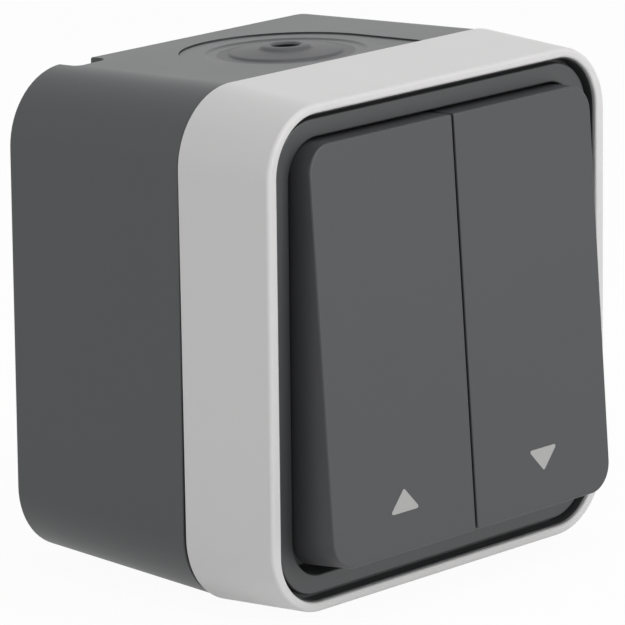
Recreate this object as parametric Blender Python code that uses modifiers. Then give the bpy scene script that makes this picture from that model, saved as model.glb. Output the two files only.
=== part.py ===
"""Surface-mounted roller shutter switch with two rockers, built as it comes apart on a bench.

The wall is the plane y = 0, the front looks along -Y, +X is to the viewer's right and +Z is up.
Lengths are in metres. A depth is a distance from the wall, so a point at depth d has y = -d.
"""
import math

import bmesh
import bpy
from mathutils import Matrix, Vector

# Collar, the light frame around the front
COLLAR_WIDTH = 0.0770
COLLAR_HEIGHT = 0.0780
COLLAR_DEPTH = 0.0170
COLLAR_CORNER = 0.0114
COLLAR_TAPER_X = 0.00064
COLLAR_TAPER_Z = 0.00102
COLLAR_WALL = 0.0022
COLLAR_EDGE = 0.00015
LEDGE_THICKNESS = 0.0018
RIM_SIDE_WIDTH = 0.00206
RIM_TOP_WIDTH = 0.00146
RIM_ROUND = 0.0006
RIM_EDGE = 0.0004
RIM_INNER_CORNER = 0.0086

# Back box
BOX_DEPTH = 0.0355
BOX_INSET_X = 0.00037
BOX_INSET_Z = 0.00021
BOX_DRAFT_X = 0.00085
BOX_DRAFT_Z = 0.00151
BOX_CORNER = 0.0112
BOX_WALL = 0.0024
BOX_BACK_WALL = 0.0026
BOX_BACK_EDGE = 0.0004
BOX_LIP = 0.0011
SEAM_GAP = 0.0005

# Seam gasket
GASKET_HEIGHT = 0.0013

# Cover ring, the dark frame with the well that the rockers sit in
RING_GAP = 0.00095
RING_SETBACK = 0.0012
RING_BAND = 0.0028
RING_STEP = 0.0010
RING_FLANGE = 0.0021
RING_FOOT = 0.0009
RING_INNER_CORNER = 0.0060
RING_EDGE = 0.0003
WELL_DEPTH = 0.0054
WELL_DRAFT = 0.0002
WELL_FLOOR = 0.0018
WINDOW_HEIGHT = 0.0140
WINDOW_CORNER = 0.0017

# Rockers
WELL_GAP_X = 0.00055
WELL_GAP_Z = 0.00127
ROCKER_SPLIT = 0.0006
ROCKER_FACE = 0.0020
ROCKER_WALL = 0.0015
ROCKER_PROUD = 0.0056
ROCKER_CORNER = 0.0050
ROCKER_INNER_CORNER = 0.0005
ROCKER_EDGE = 0.0005
ROCKER_FLARE = 0.0001
SKIRT_GAP = 0.0006
REST_TILT = 4.0
PIVOT_SETBACK = 0.0122

# Cradles, the carriers under the rockers, and the pin that they turn on
PIN_RADIUS = 0.0015
PIN_FIT = 0.00025
CHEEK_THICKNESS = 0.0020
CHEEK_HALF_HEIGHT = 0.0046
CHEEK_RISE = 0.0030
CRADLE_INSET = 0.0089
HUB_RADIUS = 0.0034
WEB_THICKNESS = 0.0030
GUSSET_THICKNESS = 0.0012
PLATFORM_HEIGHT = 0.0260
PLATFORM_THICKNESS = 0.0018
PLATFORM_SETBACK = 0.0051
HOOK_THICKNESS = 0.0012
HOOK_BARB = 0.0008
HOOK_WIDTH = 0.0060
POST_RADIUS = 0.0013
TUBE_WALL = 0.0011
TUBE_GAP = 0.0010
ROOF_WALL = 0.0010

# Plungers and their springs
PLUNGER_RADIUS = 0.0015
PLUNGER_TIP = 0.0005
SPRING_LENGTH = 0.0031
SPRING_WIRE = 0.00030
SPRING_INSET = 0.00040
SPRING_TURNS = 4

# Insert: steel plate, contact block and the frame that carries the pin
PLATE_MARGIN = 0.0011
PLATE_CORNER = 0.0085
PLATE_THICKNESS = 0.0010
PLATE_SETBACK = 0.0043
BLOCK_PILLAR_GAP = 0.0022
BLOCK_MARGIN = 0.0010
BLOCK_SHOULDER = 0.0020
BLOCK_DEPTH = 0.0200
BLOCK_CORNER = 0.0030
FRAME_SCREW_GAP = 0.00055
FRAME_MARGIN = 0.0020
FRAME_THICKNESS = 0.0024
FRAME_CORNER = 0.0030
SEAL_WALL = 0.0013
SEAL_MARGIN = 0.0005

# Contacts
BRIDGE_LENGTH = 0.0190
BRIDGE_WIDTH = 0.0050
BRIDGE_THICKNESS = 0.0009
BRIDGE_RATIO = -2.0
BRIDGE_BACKSET = 0.0022
RIVET_RADIUS = 0.0014
RIVET_HEIGHT = 0.0006
RIVET_INSET = 0.0015
STRIP_THICKNESS = 0.0008
STRIP_WIDTH = 0.0040
KNIFE_WIDTH = 0.0035
POCKET_DEPTH = 0.0083
POCKET_MARGIN = 0.0015
POCKET_WALL = 0.0026

# Terminal clamps
CLAMP_WIDTH = 0.0086
CLAMP_ROOF = 0.0026
CLAMP_LENGTH = 0.0081
CLAMP_WINDOW_WIDTH = 0.0058
CLAMP_WINDOW_DEPTH = 0.0046
CLAMP_FLOOR = 0.0027
CLAMP_WIRE_SPACE = 0.0023

# Fasteners
SCREW_RADIUS = 0.0014
SCREW_HEAD_RADIUS = 0.0026
SCREW_HEAD_HEIGHT = 0.0018
SCREW_SLOT = 0.0007
DEVICE_SCREW_INSET = 0.00798
DEVICE_SCREW_LENGTH = 0.0120
COVER_SCREW_INSET_X = 0.0033
COVER_SCREW_INSET_Z = 0.0090
PILLAR_RADIUS = 0.0040
PILLAR_RIB = 0.0030

# Cable entries in the top and the bottom
ENTRY_SETBACK = 0.0135
ENTRY_NECK = 0.0082
ENTRY_RIM = 0.0020
ENTRY_GRIP = 0.0006
ENTRY_FLANGE = 0.0012
ENTRY_DOME = 0.00046
ENTRY_BOSS_RADIUS = 0.0039
DIMPLE_RADIUS = 0.0019
RECESS_RADIUS = 0.0170
RECESS_DEPTH = 0.00045

# Wall fixing and the details of the back
FIXING_INSET_X = 0.0118
FIXING_INSET_Z = 0.0118
FIXING_SLOT_WIDTH = 0.0048
FIXING_SLOT_LENGTH = 0.0100
FIXING_PAD = 0.0030
FIXING_PAD_WALL = 0.0010
KNOCKOUT_RADIUS = 0.0100
KNOCKOUT_GROOVE = 0.0006
NOTCH_INSET = 0.0179
NOTCH_WIDTH = 0.0070
NOTCH_DROP = 0.0009
NOTCH_REACH = 0.0085

# Clearances
TOUCH = 0.0003
PIECE_GAP = 0.0004
OVERSHOOT = 0.0010

# Facets
CORNER_STEPS = 8
ROUND_STEPS = 24

# Colours as (red, green, blue), roughness and metallic value
DARK_PLASTIC = ((0.085, 0.087, 0.090), 0.50, 0.0)
ROCKER_PLASTIC = ((0.105, 0.105, 0.110), 0.50, 0.0)
LIGHT_PLASTIC = ((0.58, 0.57, 0.57), 0.45, 0.0)
SOFT_DARK = ((0.040, 0.040, 0.042), 0.75, 0.0)
SOFT_GREY = ((0.16, 0.165, 0.17), 0.65, 0.0)
BLACK_PLASTIC = ((0.025, 0.025, 0.027), 0.50, 0.0)
WHITE_PLASTIC = ((0.72, 0.72, 0.70), 0.45, 0.0)
STEEL = ((0.60, 0.61, 0.62), 0.35, 1.0)
BRASS = ((0.70, 0.55, 0.28), 0.35, 1.0)

# Depths and places that follow from the sizes above
SEAM_DEPTH = BOX_DEPTH + SEAM_GAP
FRONT_DEPTH = SEAM_DEPTH + COLLAR_DEPTH
RING_DEPTH = FRONT_DEPTH - RING_SETBACK
FLOOR_DEPTH = RING_DEPTH - WELL_DEPTH
FLOOR_BACK = FLOOR_DEPTH - WELL_FLOOR
FACE_DEPTH = RING_DEPTH + ROCKER_PROUD
PIVOT_DEPTH = FACE_DEPTH - PIVOT_SETBACK
PLATE_DEPTH = BOX_DEPTH - PLATE_SETBACK
PLATE_FRONT = PLATE_DEPTH + PLATE_THICKNESS
FRAME_DEPTH = PLATE_FRONT + TOUCH
FRAME_FRONT = FRAME_DEPTH + FRAME_THICKNESS
POCKET_FLOOR = PLATE_FRONT - POCKET_DEPTH
STRIP_DEPTH = POCKET_FLOOR + TOUCH
STRIP_FRONT = STRIP_DEPTH + STRIP_THICKNESS
BRIDGE_DEPTH = PLATE_FRONT - BRIDGE_BACKSET
BRIDGE_AXIS_DEPTH = BRIDGE_DEPTH - BRIDGE_THICKNESS
CLAMP_BACK = STRIP_DEPTH - CLAMP_WIRE_SPACE - CLAMP_FLOOR
CLAMP_FRONT = CLAMP_BACK + CLAMP_FLOOR + CLAMP_WINDOW_DEPTH + CLAMP_ROOF
ENTRY_DEPTH = BOX_DEPTH - ENTRY_SETBACK

BOX_HALF_X = COLLAR_WIDTH / 2 - BOX_INSET_X
BOX_HALF_Z = COLLAR_HEIGHT / 2 - BOX_INSET_Z
SHAFT_HALF_X = COLLAR_WIDTH / 2 - COLLAR_TAPER_X - RIM_SIDE_WIDTH
SHAFT_HALF_Z = COLLAR_HEIGHT / 2 - COLLAR_TAPER_Z - RIM_TOP_WIDTH
RING_HALF_X = SHAFT_HALF_X - RING_GAP
RING_HALF_Z = SHAFT_HALF_Z - RING_GAP
RING_CORNER = RIM_INNER_CORNER - RING_GAP
FOOT_HALF_X = RING_HALF_X - RING_FOOT
FOOT_HALF_Z = RING_HALF_Z - RING_FOOT
WELL_HALF_X = RING_HALF_X - RING_BAND
WELL_HALF_Z = RING_HALF_Z - RING_BAND
ROCKER_HALF_X = WELL_HALF_X - WELL_GAP_X
ROCKER_HALF_Z = WELL_HALF_Z - WELL_GAP_Z
SKIRT_DEPTH = FLOOR_DEPTH + ROCKER_HALF_Z * math.sin(math.radians(REST_TILT)) + SKIRT_GAP

CRADLE_START = ROCKER_SPLIT / 2 + ROCKER_WALL + TOUCH
CRADLE_END = ROCKER_HALF_X - ROCKER_WALL - CRADLE_INSET
CRADLE_X = (CRADLE_START + CRADLE_END) / 2
CHEEK_X = CRADLE_END + PIECE_GAP
PIN_END = CHEEK_X + CHEEK_THICKNESS
WINDOW_HALF_X = PIN_END + OVERSHOOT
TUBE_BORE = PLUNGER_RADIUS + TOUCH
TUBE_RADIUS = TUBE_BORE + TUBE_WALL
BORE_ROOF = PIN_RADIUS + PIN_FIT + ROOF_WALL

DEVICE_SCREW_X = BOX_HALF_X - DEVICE_SCREW_INSET
COVER_SCREW_X = WELL_HALF_X - COVER_SCREW_INSET_X
COVER_SCREW_Z = WELL_HALF_Z - COVER_SCREW_INSET_Z
RIVET_REACH = BRIDGE_LENGTH / 2 - RIVET_INSET
POCKET_HALF_WIDTH = BRIDGE_WIDTH / 2 + POCKET_MARGIN
POCKET_HALF_HEIGHT = BRIDGE_LENGTH / 2 + POCKET_MARGIN
CLAMP_START = POCKET_HALF_HEIGHT + POCKET_WALL + TOUCH
CLAMP_Z = CLAMP_START + CLAMP_LENGTH / 2
STRIP_END = CLAMP_Z + TOUCH
BLOCK_HALF_X = DEVICE_SCREW_X - PILLAR_RADIUS - BLOCK_PILLAR_GAP
BLOCK_HALF_Z = CLAMP_START + CLAMP_LENGTH + BLOCK_MARGIN
FRAME_HALF_X = DEVICE_SCREW_X - SCREW_HEAD_RADIUS - FRAME_SCREW_GAP
FRAME_HALF_Z = BLOCK_HALF_Z + FRAME_MARGIN

parts = bpy.data.collections.new("roller_shutter_switch")
cutters = bpy.data.collections.new("cutters")


def clear_scene():
    for old in list(bpy.data.objects):
        bpy.data.objects.remove(old, do_unlink=True)
    bpy.context.scene.collection.children.link(parts)
    bpy.context.scene.collection.children.link(cutters)


def new_object(name, bm, parent=None):
    """Turn a bmesh into an object of the parts collection."""
    mesh = bpy.data.meshes.new(name)
    bm.to_mesh(mesh)
    bm.free()
    obj = bpy.data.objects.new(name, mesh)
    parts.objects.link(obj)
    obj.parent = parent
    return obj


def finish(obj, look):
    """Give the piece its own material and smooth shading with sharp edges."""
    colour, roughness, metallic = look
    material = bpy.data.materials.new(obj.name)
    material.use_nodes = True
    shader = material.node_tree.nodes["Principled BSDF"]
    shader.inputs["Base Color"].default_value = (*colour, 1.0)
    shader.inputs["Roughness"].default_value = roughness
    shader.inputs["Metallic"].default_value = metallic
    obj.data.materials.append(material)
    if obj.type == "MESH":
        obj.data.shade_smooth()
        obj.data.set_sharp_from_angle(angle=math.radians(35))
    return obj


def as_tool(obj):
    """Move a solid to the cutters collection, out of the model."""
    parts.objects.unlink(obj)
    cutters.objects.link(obj)
    obj.hide_render = True
    obj.display_type = "WIRE"


def combine(target, tool, operation):
    as_tool(tool)
    modifier = target.modifiers.new(tool.name, "BOOLEAN")
    modifier.operation = operation
    modifier.solver = "EXACT"
    modifier.object = tool
    return target


def cut(target, tool):
    return combine(target, tool, "DIFFERENCE")


def join(target, tool):
    return combine(target, tool, "UNION")


def outline(x0, x1, z0, z1, radii, depth, steps=CORNER_STEPS):
    """Rounded rectangle at one depth, with its corner radii from the upper right, anticlockwise."""
    corners = ((x1, z1, -1, -1, 0), (x0, z1, 1, -1, 90), (x0, z0, 1, 1, 180), (x1, z0, -1, 1, 270))
    points = []
    for (x, z, into_x, into_z, start), radius in zip(corners, radii):
        for step in range(steps + 1):
            angle = math.radians(start + 90 * step / steps)
            points.append(Vector((x + into_x * radius + radius * math.cos(angle), -depth,
                                  z + into_z * radius + radius * math.sin(angle))))
    return points


def section(half_x, half_z, radius, depth, steps=CORNER_STEPS):
    """Rounded rectangle centred on the switch."""
    return outline(-half_x, half_x, -half_z, half_z, (radius,) * 4, depth, steps)


def loft(name, sections, parent=None, closed=False):
    """Skin a row of like outlines: from back to front it is an outer wall, the other way an inner one."""
    bm = bmesh.new()
    rings = [[bm.verts.new(point) for point in ring] for ring in sections]
    count = len(rings[0])
    pairs = list(zip(rings, rings[1:]))
    if closed:
        pairs.append((rings[-1], rings[0]))
    else:
        bm.faces.new(reversed(rings[0]))
        bm.faces.new(rings[-1])
    for near, far in pairs:
        for i in range(count):
            j = (i + 1) % count
            bm.faces.new((near[i], near[j], far[j], far[i]))
    return new_object(name, bm, parent)


def block(name, x, depth, z, parent=None, bevel=0.0):
    """Box between two values each of x, depth and z, with its edges rounded where bevel is set."""
    size = Vector((x[1] - x[0], depth[1] - depth[0], z[1] - z[0]))
    centre = Vector(((x[0] + x[1]) / 2, -(depth[0] + depth[1]) / 2, (z[0] + z[1]) / 2))
    bm = bmesh.new()
    bmesh.ops.create_cube(bm, size=1.0)
    bmesh.ops.scale(bm, vec=size, verts=bm.verts)
    bmesh.ops.translate(bm, vec=centre, verts=bm.verts)
    obj = new_object(name, bm, parent)
    if bevel:
        modifier = obj.modifiers.new("edges", "BEVEL")
        modifier.width = bevel
        modifier.segments = 2
        modifier.limit_method = "ANGLE"
    return obj


def rod(name, start, end, radius, end_radius=None, parent=None, steps=ROUND_STEPS):
    """Cylinder or cone between two points."""
    start = Vector(start)
    end = Vector(end)
    span = end - start
    turn = span.to_track_quat("Z", "Y").to_matrix().to_4x4()
    bm = bmesh.new()
    bmesh.ops.create_cone(bm, cap_ends=True, segments=steps, radius1=radius,
                          radius2=radius if end_radius is None else end_radius, depth=span.length,
                          matrix=Matrix.Translation((start + end) / 2) @ turn)
    return new_object(name, bm, parent)


def turned(name, profile, location, tilt=0.0, parent=None, steps=ROUND_STEPS, ring=False):
    """Revolve a profile of (radius, height) about Z, drawn from the top down its outer side."""
    bm = bmesh.new()
    points = [bm.verts.new((radius, 0.0, height)) for radius, height in profile]
    for near, far in zip(points, points[1:]):
        bm.edges.new((near, far))
    if ring:
        bm.edges.new((points[-1], points[0]))
    obj = new_object(name, bm, parent)
    screw = obj.modifiers.new("turn", "SCREW")
    screw.axis = "Z"
    screw.steps = steps
    screw.render_steps = steps
    screw.use_merge_vertices = True
    screw.merge_threshold = 0.00001
    obj.location = location
    obj.rotation_euler.x = math.radians(tilt)
    return obj


def prism(name, points, depth, parent=None):
    """Flat plate between two depths, from an outline of (x, z) points, anticlockwise from the front."""
    bm = bmesh.new()
    back = [bm.verts.new((x, -depth[0], z)) for x, z in points]
    front = [bm.verts.new((x, -depth[1], z)) for x, z in points]
    bm.faces.new(reversed(back))
    bm.faces.new(front)
    for i in range(len(points)):
        j = (i + 1) % len(points)
        bm.faces.new((back[i], back[j], front[j], front[i]))
    return new_object(name, bm, parent)


def box_half(depth):
    """Half width and half height of the drafted back box at a depth."""
    share = 1 - depth / BOX_DEPTH
    return BOX_HALF_X - BOX_DRAFT_X * share, BOX_HALF_Z - BOX_DRAFT_Z * share


def box_section(depth, inset):
    half_x, half_z = box_half(depth)
    return section(half_x - inset, half_z - inset, BOX_CORNER - inset, depth)


def collar_section(depth, inset):
    """Outline of the tapered collar at a depth, moved in from its outer wall."""
    share = (depth - SEAM_DEPTH) / COLLAR_DEPTH
    return section(COLLAR_WIDTH / 2 - COLLAR_TAPER_X * share - inset,
                   COLLAR_HEIGHT / 2 - COLLAR_TAPER_Z * share - inset,
                   COLLAR_CORNER - COLLAR_TAPER_X * share - inset, depth)


def entry_tilt():
    """Slope of the box's top in degrees, which its draft gives it."""
    return -math.degrees(math.atan(BOX_DRAFT_Z / BOX_DEPTH))


def side_frame(side):
    """Empty on the outer face of the top (1) or the bottom (-1), its Z pointing out of the box."""
    empty = bpy.data.objects.new("entry_top" if side > 0 else "entry_bottom", None)
    parts.objects.link(empty)
    empty.location = (0, -ENTRY_DEPTH, side * box_half(ENTRY_DEPTH)[1])
    empty.rotation_euler.x = math.radians(side * entry_tilt() + (0 if side > 0 else 180))
    return empty


def make_back_box():
    """Moulded box: drafted walls, a lip for the gasket, pillars, entries and wall fixings."""
    box = loft("back_box", [
        box_section(0, BOX_BACK_EDGE),
        box_section(BOX_BACK_EDGE, 0),
        box_section(BOX_DEPTH, 0),
        box_section(BOX_DEPTH, BOX_LIP),
        box_section(BOX_DEPTH - GASKET_HEIGHT, BOX_LIP),
        box_section(BOX_DEPTH - GASKET_HEIGHT, BOX_WALL),
        box_section(BOX_BACK_WALL, BOX_WALL),
    ])
    pillar_x = DEVICE_SCREW_X
    pillar_top = PLATE_DEPTH - TOUCH
    wall_middle = box_half(BOX_DEPTH / 2)[0] - BOX_WALL / 2
    for side, word in ((-1, "left"), (1, "right")):
        pillar = rod("pillar_" + word, (side * pillar_x, -BOX_BACK_WALL / 2, 0),
                     (side * pillar_x, -pillar_top, 0), PILLAR_RADIUS)
        join(box, pillar)
        reach = sorted((side * pillar_x, side * wall_middle))
        rib = block("pillar_rib_" + word, reach, (BOX_BACK_WALL * 0.6, pillar_top - OVERSHOOT),
                    (-PILLAR_RIB / 2, PILLAR_RIB / 2))
        join(box, rib)
        pad_x = side * (box_half(0)[0] - FIXING_INSET_X)
        pad_z = -side * (box_half(0)[1] - FIXING_INSET_Z)
        pad = rod("fixing_pad_" + word, (pad_x, -BOX_BACK_WALL / 2, pad_z),
                  (pad_x, -BOX_BACK_WALL - FIXING_PAD, pad_z), FIXING_SLOT_LENGTH / 2 + FIXING_PAD_WALL)
        join(box, pad)
        cut(box, rod("pillar_bore_" + word, (side * pillar_x, -pillar_top - OVERSHOOT, 0),
                     (side * pillar_x, -PLATE_FRONT + DEVICE_SCREW_LENGTH + OVERSHOOT, 0),
                     SCREW_RADIUS + TOUCH))
        cut(box, fixing_slot(word, side, pad_x, pad_z))
    for side, word in ((1, "top"), (-1, "bottom")):
        frame = side_frame(side)
        cut(box, entry_recess(word, frame))
        cut(box, rod("entry_seat_" + word, (0, 0, OVERSHOOT), (0, 0, -RECESS_DEPTH - ENTRY_FLANGE),
                     ENTRY_NECK + ENTRY_RIM + TOUCH, parent=frame, steps=36))
        cut(box, rod("entry_hole_" + word, (0, 0, OVERSHOOT), (0, 0, -BOX_WALL - OVERSHOOT),
                     ENTRY_NECK + TOUCH, parent=frame, steps=32))
        make_entry(word, frame)
    groove_inner = KNOCKOUT_RADIUS - KNOCKOUT_GROOVE
    groove = turned("knockout_groove", [
        (KNOCKOUT_RADIUS, OVERSHOOT), (KNOCKOUT_RADIUS, -KNOCKOUT_GROOVE),
        (groove_inner, -KNOCKOUT_GROOVE), (groove_inner, OVERSHOOT),
    ], (0, 0, 0), tilt=-90, steps=32, ring=True)
    cut(box, groove)
    cut(box, rear_notch())
    return finish(box, DARK_PLASTIC)


def fixing_slot(word, side, x, z):
    """Slot for a wall screw, lying on the left and upright on the right, so the box can be trued up."""
    long_half = FIXING_SLOT_LENGTH / 2
    short_half = FIXING_SLOT_WIDTH / 2
    half_x, half_z = (long_half, short_half) if side < 0 else (short_half, long_half)
    radii = (short_half * 0.98,) * 4
    ends = [outline(x - half_x, x + half_x, z - half_z, z + half_z, radii, depth, 5)
            for depth in (-OVERSHOOT, BOX_BACK_WALL + FIXING_PAD + OVERSHOOT)]
    return loft("fixing_slot_" + word, ends)


def entry_recess(word, frame):
    """Shallow U around a cable entry: half a circle at the back, straight sides out to the seam."""
    front = BOX_DEPTH - ENTRY_DEPTH + OVERSHOOT
    points = [(RECESS_RADIUS * math.cos(angle), RECESS_RADIUS * math.sin(angle))
              for angle in (math.pi * step / ROUND_STEPS for step in range(ROUND_STEPS + 1))]
    points += [(-RECESS_RADIUS, -front), (RECESS_RADIUS, -front)]
    flip = 1 if word == "top" else -1
    bm = bmesh.new()
    low = [bm.verts.new((x, flip * y, -RECESS_DEPTH)) for x, y in points]
    high = [bm.verts.new((x, flip * y, OVERSHOOT)) for x, y in points]
    bm.faces.new(low)
    bm.faces.new(reversed(high))
    for i in range(len(points)):
        j = (i + 1) % len(points)
        bm.faces.new((low[i], high[i], high[j], low[j]))
    bmesh.ops.recalc_face_normals(bm, faces=bm.faces)
    return new_object("entry_recess_" + word, bm, frame)


def make_entry(word, frame):
    """Soft entry: a flange in its seat, a neck through the wall and a lip that grips it inside."""
    flange_base = -RECESS_DEPTH - ENTRY_FLANGE + TOUCH
    flange_top = -TOUCH / 2
    lip_top = -BOX_WALL - TOUCH
    edge = TOUCH
    outer = ENTRY_NECK + ENTRY_RIM
    grip = ENTRY_NECK + ENTRY_GRIP
    boss = [(ENTRY_BOSS_RADIUS, ENTRY_DOME), (ENTRY_BOSS_RADIUS + edge, ENTRY_DOME * 0.6),
            (ENTRY_BOSS_RADIUS + 2 * edge, ENTRY_DOME * 0.25)]
    if word == "top":
        crown = [(0, flange_base), (DIMPLE_RADIUS * 0.85, flange_base), (DIMPLE_RADIUS, ENTRY_DOME)]
    else:
        crown = [(0, ENTRY_DOME)]
    profile = crown + boss + [
        (outer - 2 * edge, flange_top),
        (outer - edge / 2, flange_top - edge / 2),
        (outer, flange_top - 1.5 * edge),
        (outer, flange_base),
        (ENTRY_NECK, flange_base),
        (ENTRY_NECK, lip_top),
        (grip, lip_top),
        (ENTRY_NECK, lip_top - ENTRY_FLANGE),
        (ENTRY_BOSS_RADIUS, lip_top - ENTRY_FLANGE),
        (ENTRY_BOSS_RADIUS, flange_base - ENTRY_FLANGE),
        (0, flange_base - ENTRY_FLANGE),
    ]
    name = "entry_membrane" if word == "top" else "blanking_plug"
    return finish(turned(name, profile, (0, 0, 0), parent=frame, steps=36), SOFT_GREY)


def rear_notch():
    """Lever notch in the top rear edge: square on its right, rounded out on its left, fading forward."""
    top = box_half(0)[1]
    rise = BOX_DRAFT_Z
    right = NOTCH_INSET - box_half(0)[0]
    left = right - NOTCH_WIDTH
    sections = []
    for depth, drop in ((-OVERSHOOT, NOTCH_DROP * (1 + OVERSHOOT / NOTCH_REACH)), (NOTCH_REACH, 0.0)):
        level = top + rise * max(depth, 0) / BOX_DEPTH - drop
        points = [(left, top + rise), (left, level + NOTCH_DROP)]
        points += [(left + NOTCH_WIDTH * share, level + NOTCH_DROP * (1 - math.sin(share * math.pi)) ** 2)
                   for share in (0.12, 0.25, 0.38, 0.5)]
        points += [(right, level + NOTCH_DROP * 0.15), (right, top + rise)]
        sections.append([Vector((x, -depth, z)) for x, z in points])
    return loft("rear_notch", sections)


def make_gasket():
    """Soft ring on the box's inner step, pressed by the collar and seen as a dark line in the seam."""
    start = BOX_DEPTH - GASKET_HEIGHT + TOUCH
    end = SEAM_DEPTH - TOUCH
    outer = BOX_LIP + TOUCH
    gasket = loft("seam_gasket", [
        box_section(start, outer),
        box_section(end, outer),
        box_section(end, BOX_WALL),
        box_section(start, BOX_WALL),
    ], closed=True)
    return finish(gasket, SOFT_DARK)


def make_collar():
    """Light frame: tapered outer wall, flat rim with soft edges and a ledge that the cover ring lies on."""
    ledge_front = RING_DEPTH - RING_FLANGE - TOUCH
    ledge_back = ledge_front - LEDGE_THICKNESS
    ledge_half_x = FOOT_HALF_X + TOUCH
    ledge_half_z = FOOT_HALF_Z + TOUCH
    ledge_corner = RING_CORNER - RING_FOOT + TOUCH
    rings = [collar_section(SEAM_DEPTH, COLLAR_EDGE), collar_section(SEAM_DEPTH + COLLAR_EDGE, 0)]
    for step in range(5):
        angle = math.radians(22.5 * step)
        rings.append(collar_section(FRONT_DEPTH - RIM_ROUND * (1 - math.sin(angle)),
                                    RIM_ROUND * (1 - math.cos(angle))))
    for step in range(4):
        angle = math.radians(30 * step)
        rest = RIM_EDGE * (1 - math.sin(angle))
        rings.append(section(SHAFT_HALF_X + rest, SHAFT_HALF_Z + rest, RIM_INNER_CORNER + rest,
                             FRONT_DEPTH - RIM_EDGE * (1 - math.cos(angle))))
    rings += [
        section(SHAFT_HALF_X, SHAFT_HALF_Z, RIM_INNER_CORNER, ledge_front),
        section(ledge_half_x, ledge_half_z, ledge_corner, ledge_front),
        section(ledge_half_x, ledge_half_z, ledge_corner, ledge_back),
        collar_section(ledge_back - OVERSHOOT, COLLAR_WALL),
        collar_section(SEAM_DEPTH, COLLAR_WALL),
    ]
    return finish(loft("collar", rings, closed=True), LIGHT_PLASTIC)


def make_cover_ring():
    """Dark frame and the well behind the rockers, with one window for the cradles."""
    flange_back = RING_DEPTH - RING_FLANGE
    step_half_x = SHAFT_HALF_X - TOUCH
    step_half_z = SHAFT_HALF_Z - TOUCH
    step_corner = RIM_INNER_CORNER - TOUCH
    ring = loft("cover_ring", [
        section(RING_HALF_X - RING_EDGE, RING_HALF_Z - RING_EDGE, RING_CORNER, RING_DEPTH),
        section(WELL_HALF_X + RING_EDGE, WELL_HALF_Z + RING_EDGE, RING_INNER_CORNER, RING_DEPTH),
        section(WELL_HALF_X, WELL_HALF_Z, RING_INNER_CORNER, RING_DEPTH - RING_EDGE),
        section(WELL_HALF_X - WELL_DRAFT, WELL_HALF_Z - WELL_DRAFT, RING_INNER_CORNER, FLOOR_DEPTH),
        section(WINDOW_HALF_X, WINDOW_HEIGHT / 2, WINDOW_CORNER, FLOOR_DEPTH),
        section(WINDOW_HALF_X, WINDOW_HEIGHT / 2, WINDOW_CORNER, FLOOR_BACK),
        section(FOOT_HALF_X, FOOT_HALF_Z, RING_CORNER - RING_FOOT, FLOOR_BACK),
        section(FOOT_HALF_X, FOOT_HALF_Z, RING_CORNER - RING_FOOT, flange_back),
        section(step_half_x, step_half_z, step_corner, flange_back),
        section(step_half_x, step_half_z, step_corner, RING_DEPTH - RING_STEP),
        section(RING_HALF_X, RING_HALF_Z, RING_CORNER, RING_DEPTH - RING_STEP),
        section(RING_HALF_X, RING_HALF_Z, RING_CORNER, RING_DEPTH - RING_EDGE),
    ], closed=True)
    for side, word in ((-1, "left"), (1, "right")):
        x = side * COVER_SCREW_X
        z = -side * COVER_SCREW_Z
        wide = SCREW_HEAD_RADIUS + TOUCH / 2
        narrow = SCREW_RADIUS + TOUCH
        cut(ring, turned("cover_hole_" + word, [
            (0, OVERSHOOT), (wide, OVERSHOOT), (wide, 0), (narrow, narrow - wide),
            (narrow, -WELL_FLOOR - OVERSHOOT), (0, -WELL_FLOOR - OVERSHOOT),
        ], (x, -FLOOR_DEPTH, z), tilt=90))
        make_cover_screw(word, x, z)
    return finish(ring, DARK_PLASTIC)


def make_cover_screw(word, x, z):
    """Countersunk screw that draws the cover ring and the collar to the steel plate."""
    head_top = FLOOR_DEPTH - TOUCH / 2
    cone = SCREW_HEAD_RADIUS - SCREW_RADIUS
    length = head_top - PLATE_DEPTH + OVERSHOOT
    screw = turned("cover_screw_" + word, [
        (0, 0), (SCREW_HEAD_RADIUS - TOUCH, 0), (SCREW_RADIUS, TOUCH - cone), (SCREW_RADIUS, -length),
        (0, -length),
    ], (x, -head_top, z), tilt=90, steps=16)
    cut(screw, driver_slot("cover_slot_" + word, x, z, head_top))
    return finish(screw, STEEL)


def driver_slot(name, x, z, head_top):
    half = SCREW_HEAD_RADIUS + OVERSHOOT
    return block(name, (x - half, x + half), (head_top - SCREW_SLOT, head_top + OVERSHOOT),
                 (z - SCREW_SLOT / 2, z + SCREW_SLOT / 2))


def pan_screw(name, x, z, seat, length):
    """Screw with a flat round head that lies on the given depth, and its slot for a driver."""
    head_top = seat + SCREW_HEAD_HEIGHT
    screw = turned(name, [
        (0, 0), (SCREW_HEAD_RADIUS * 0.8, 0), (SCREW_HEAD_RADIUS, -SCREW_HEAD_HEIGHT * 0.4),
        (SCREW_HEAD_RADIUS, -SCREW_HEAD_HEIGHT), (SCREW_RADIUS, -SCREW_HEAD_HEIGHT),
        (SCREW_RADIUS, -SCREW_HEAD_HEIGHT - length), (0, -SCREW_HEAD_HEIGHT - length),
    ], (x, -head_top, z), tilt=90, steps=16)
    cut(screw, driver_slot(name + "_slot", x, z, head_top))
    return finish(screw, STEEL)


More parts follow.
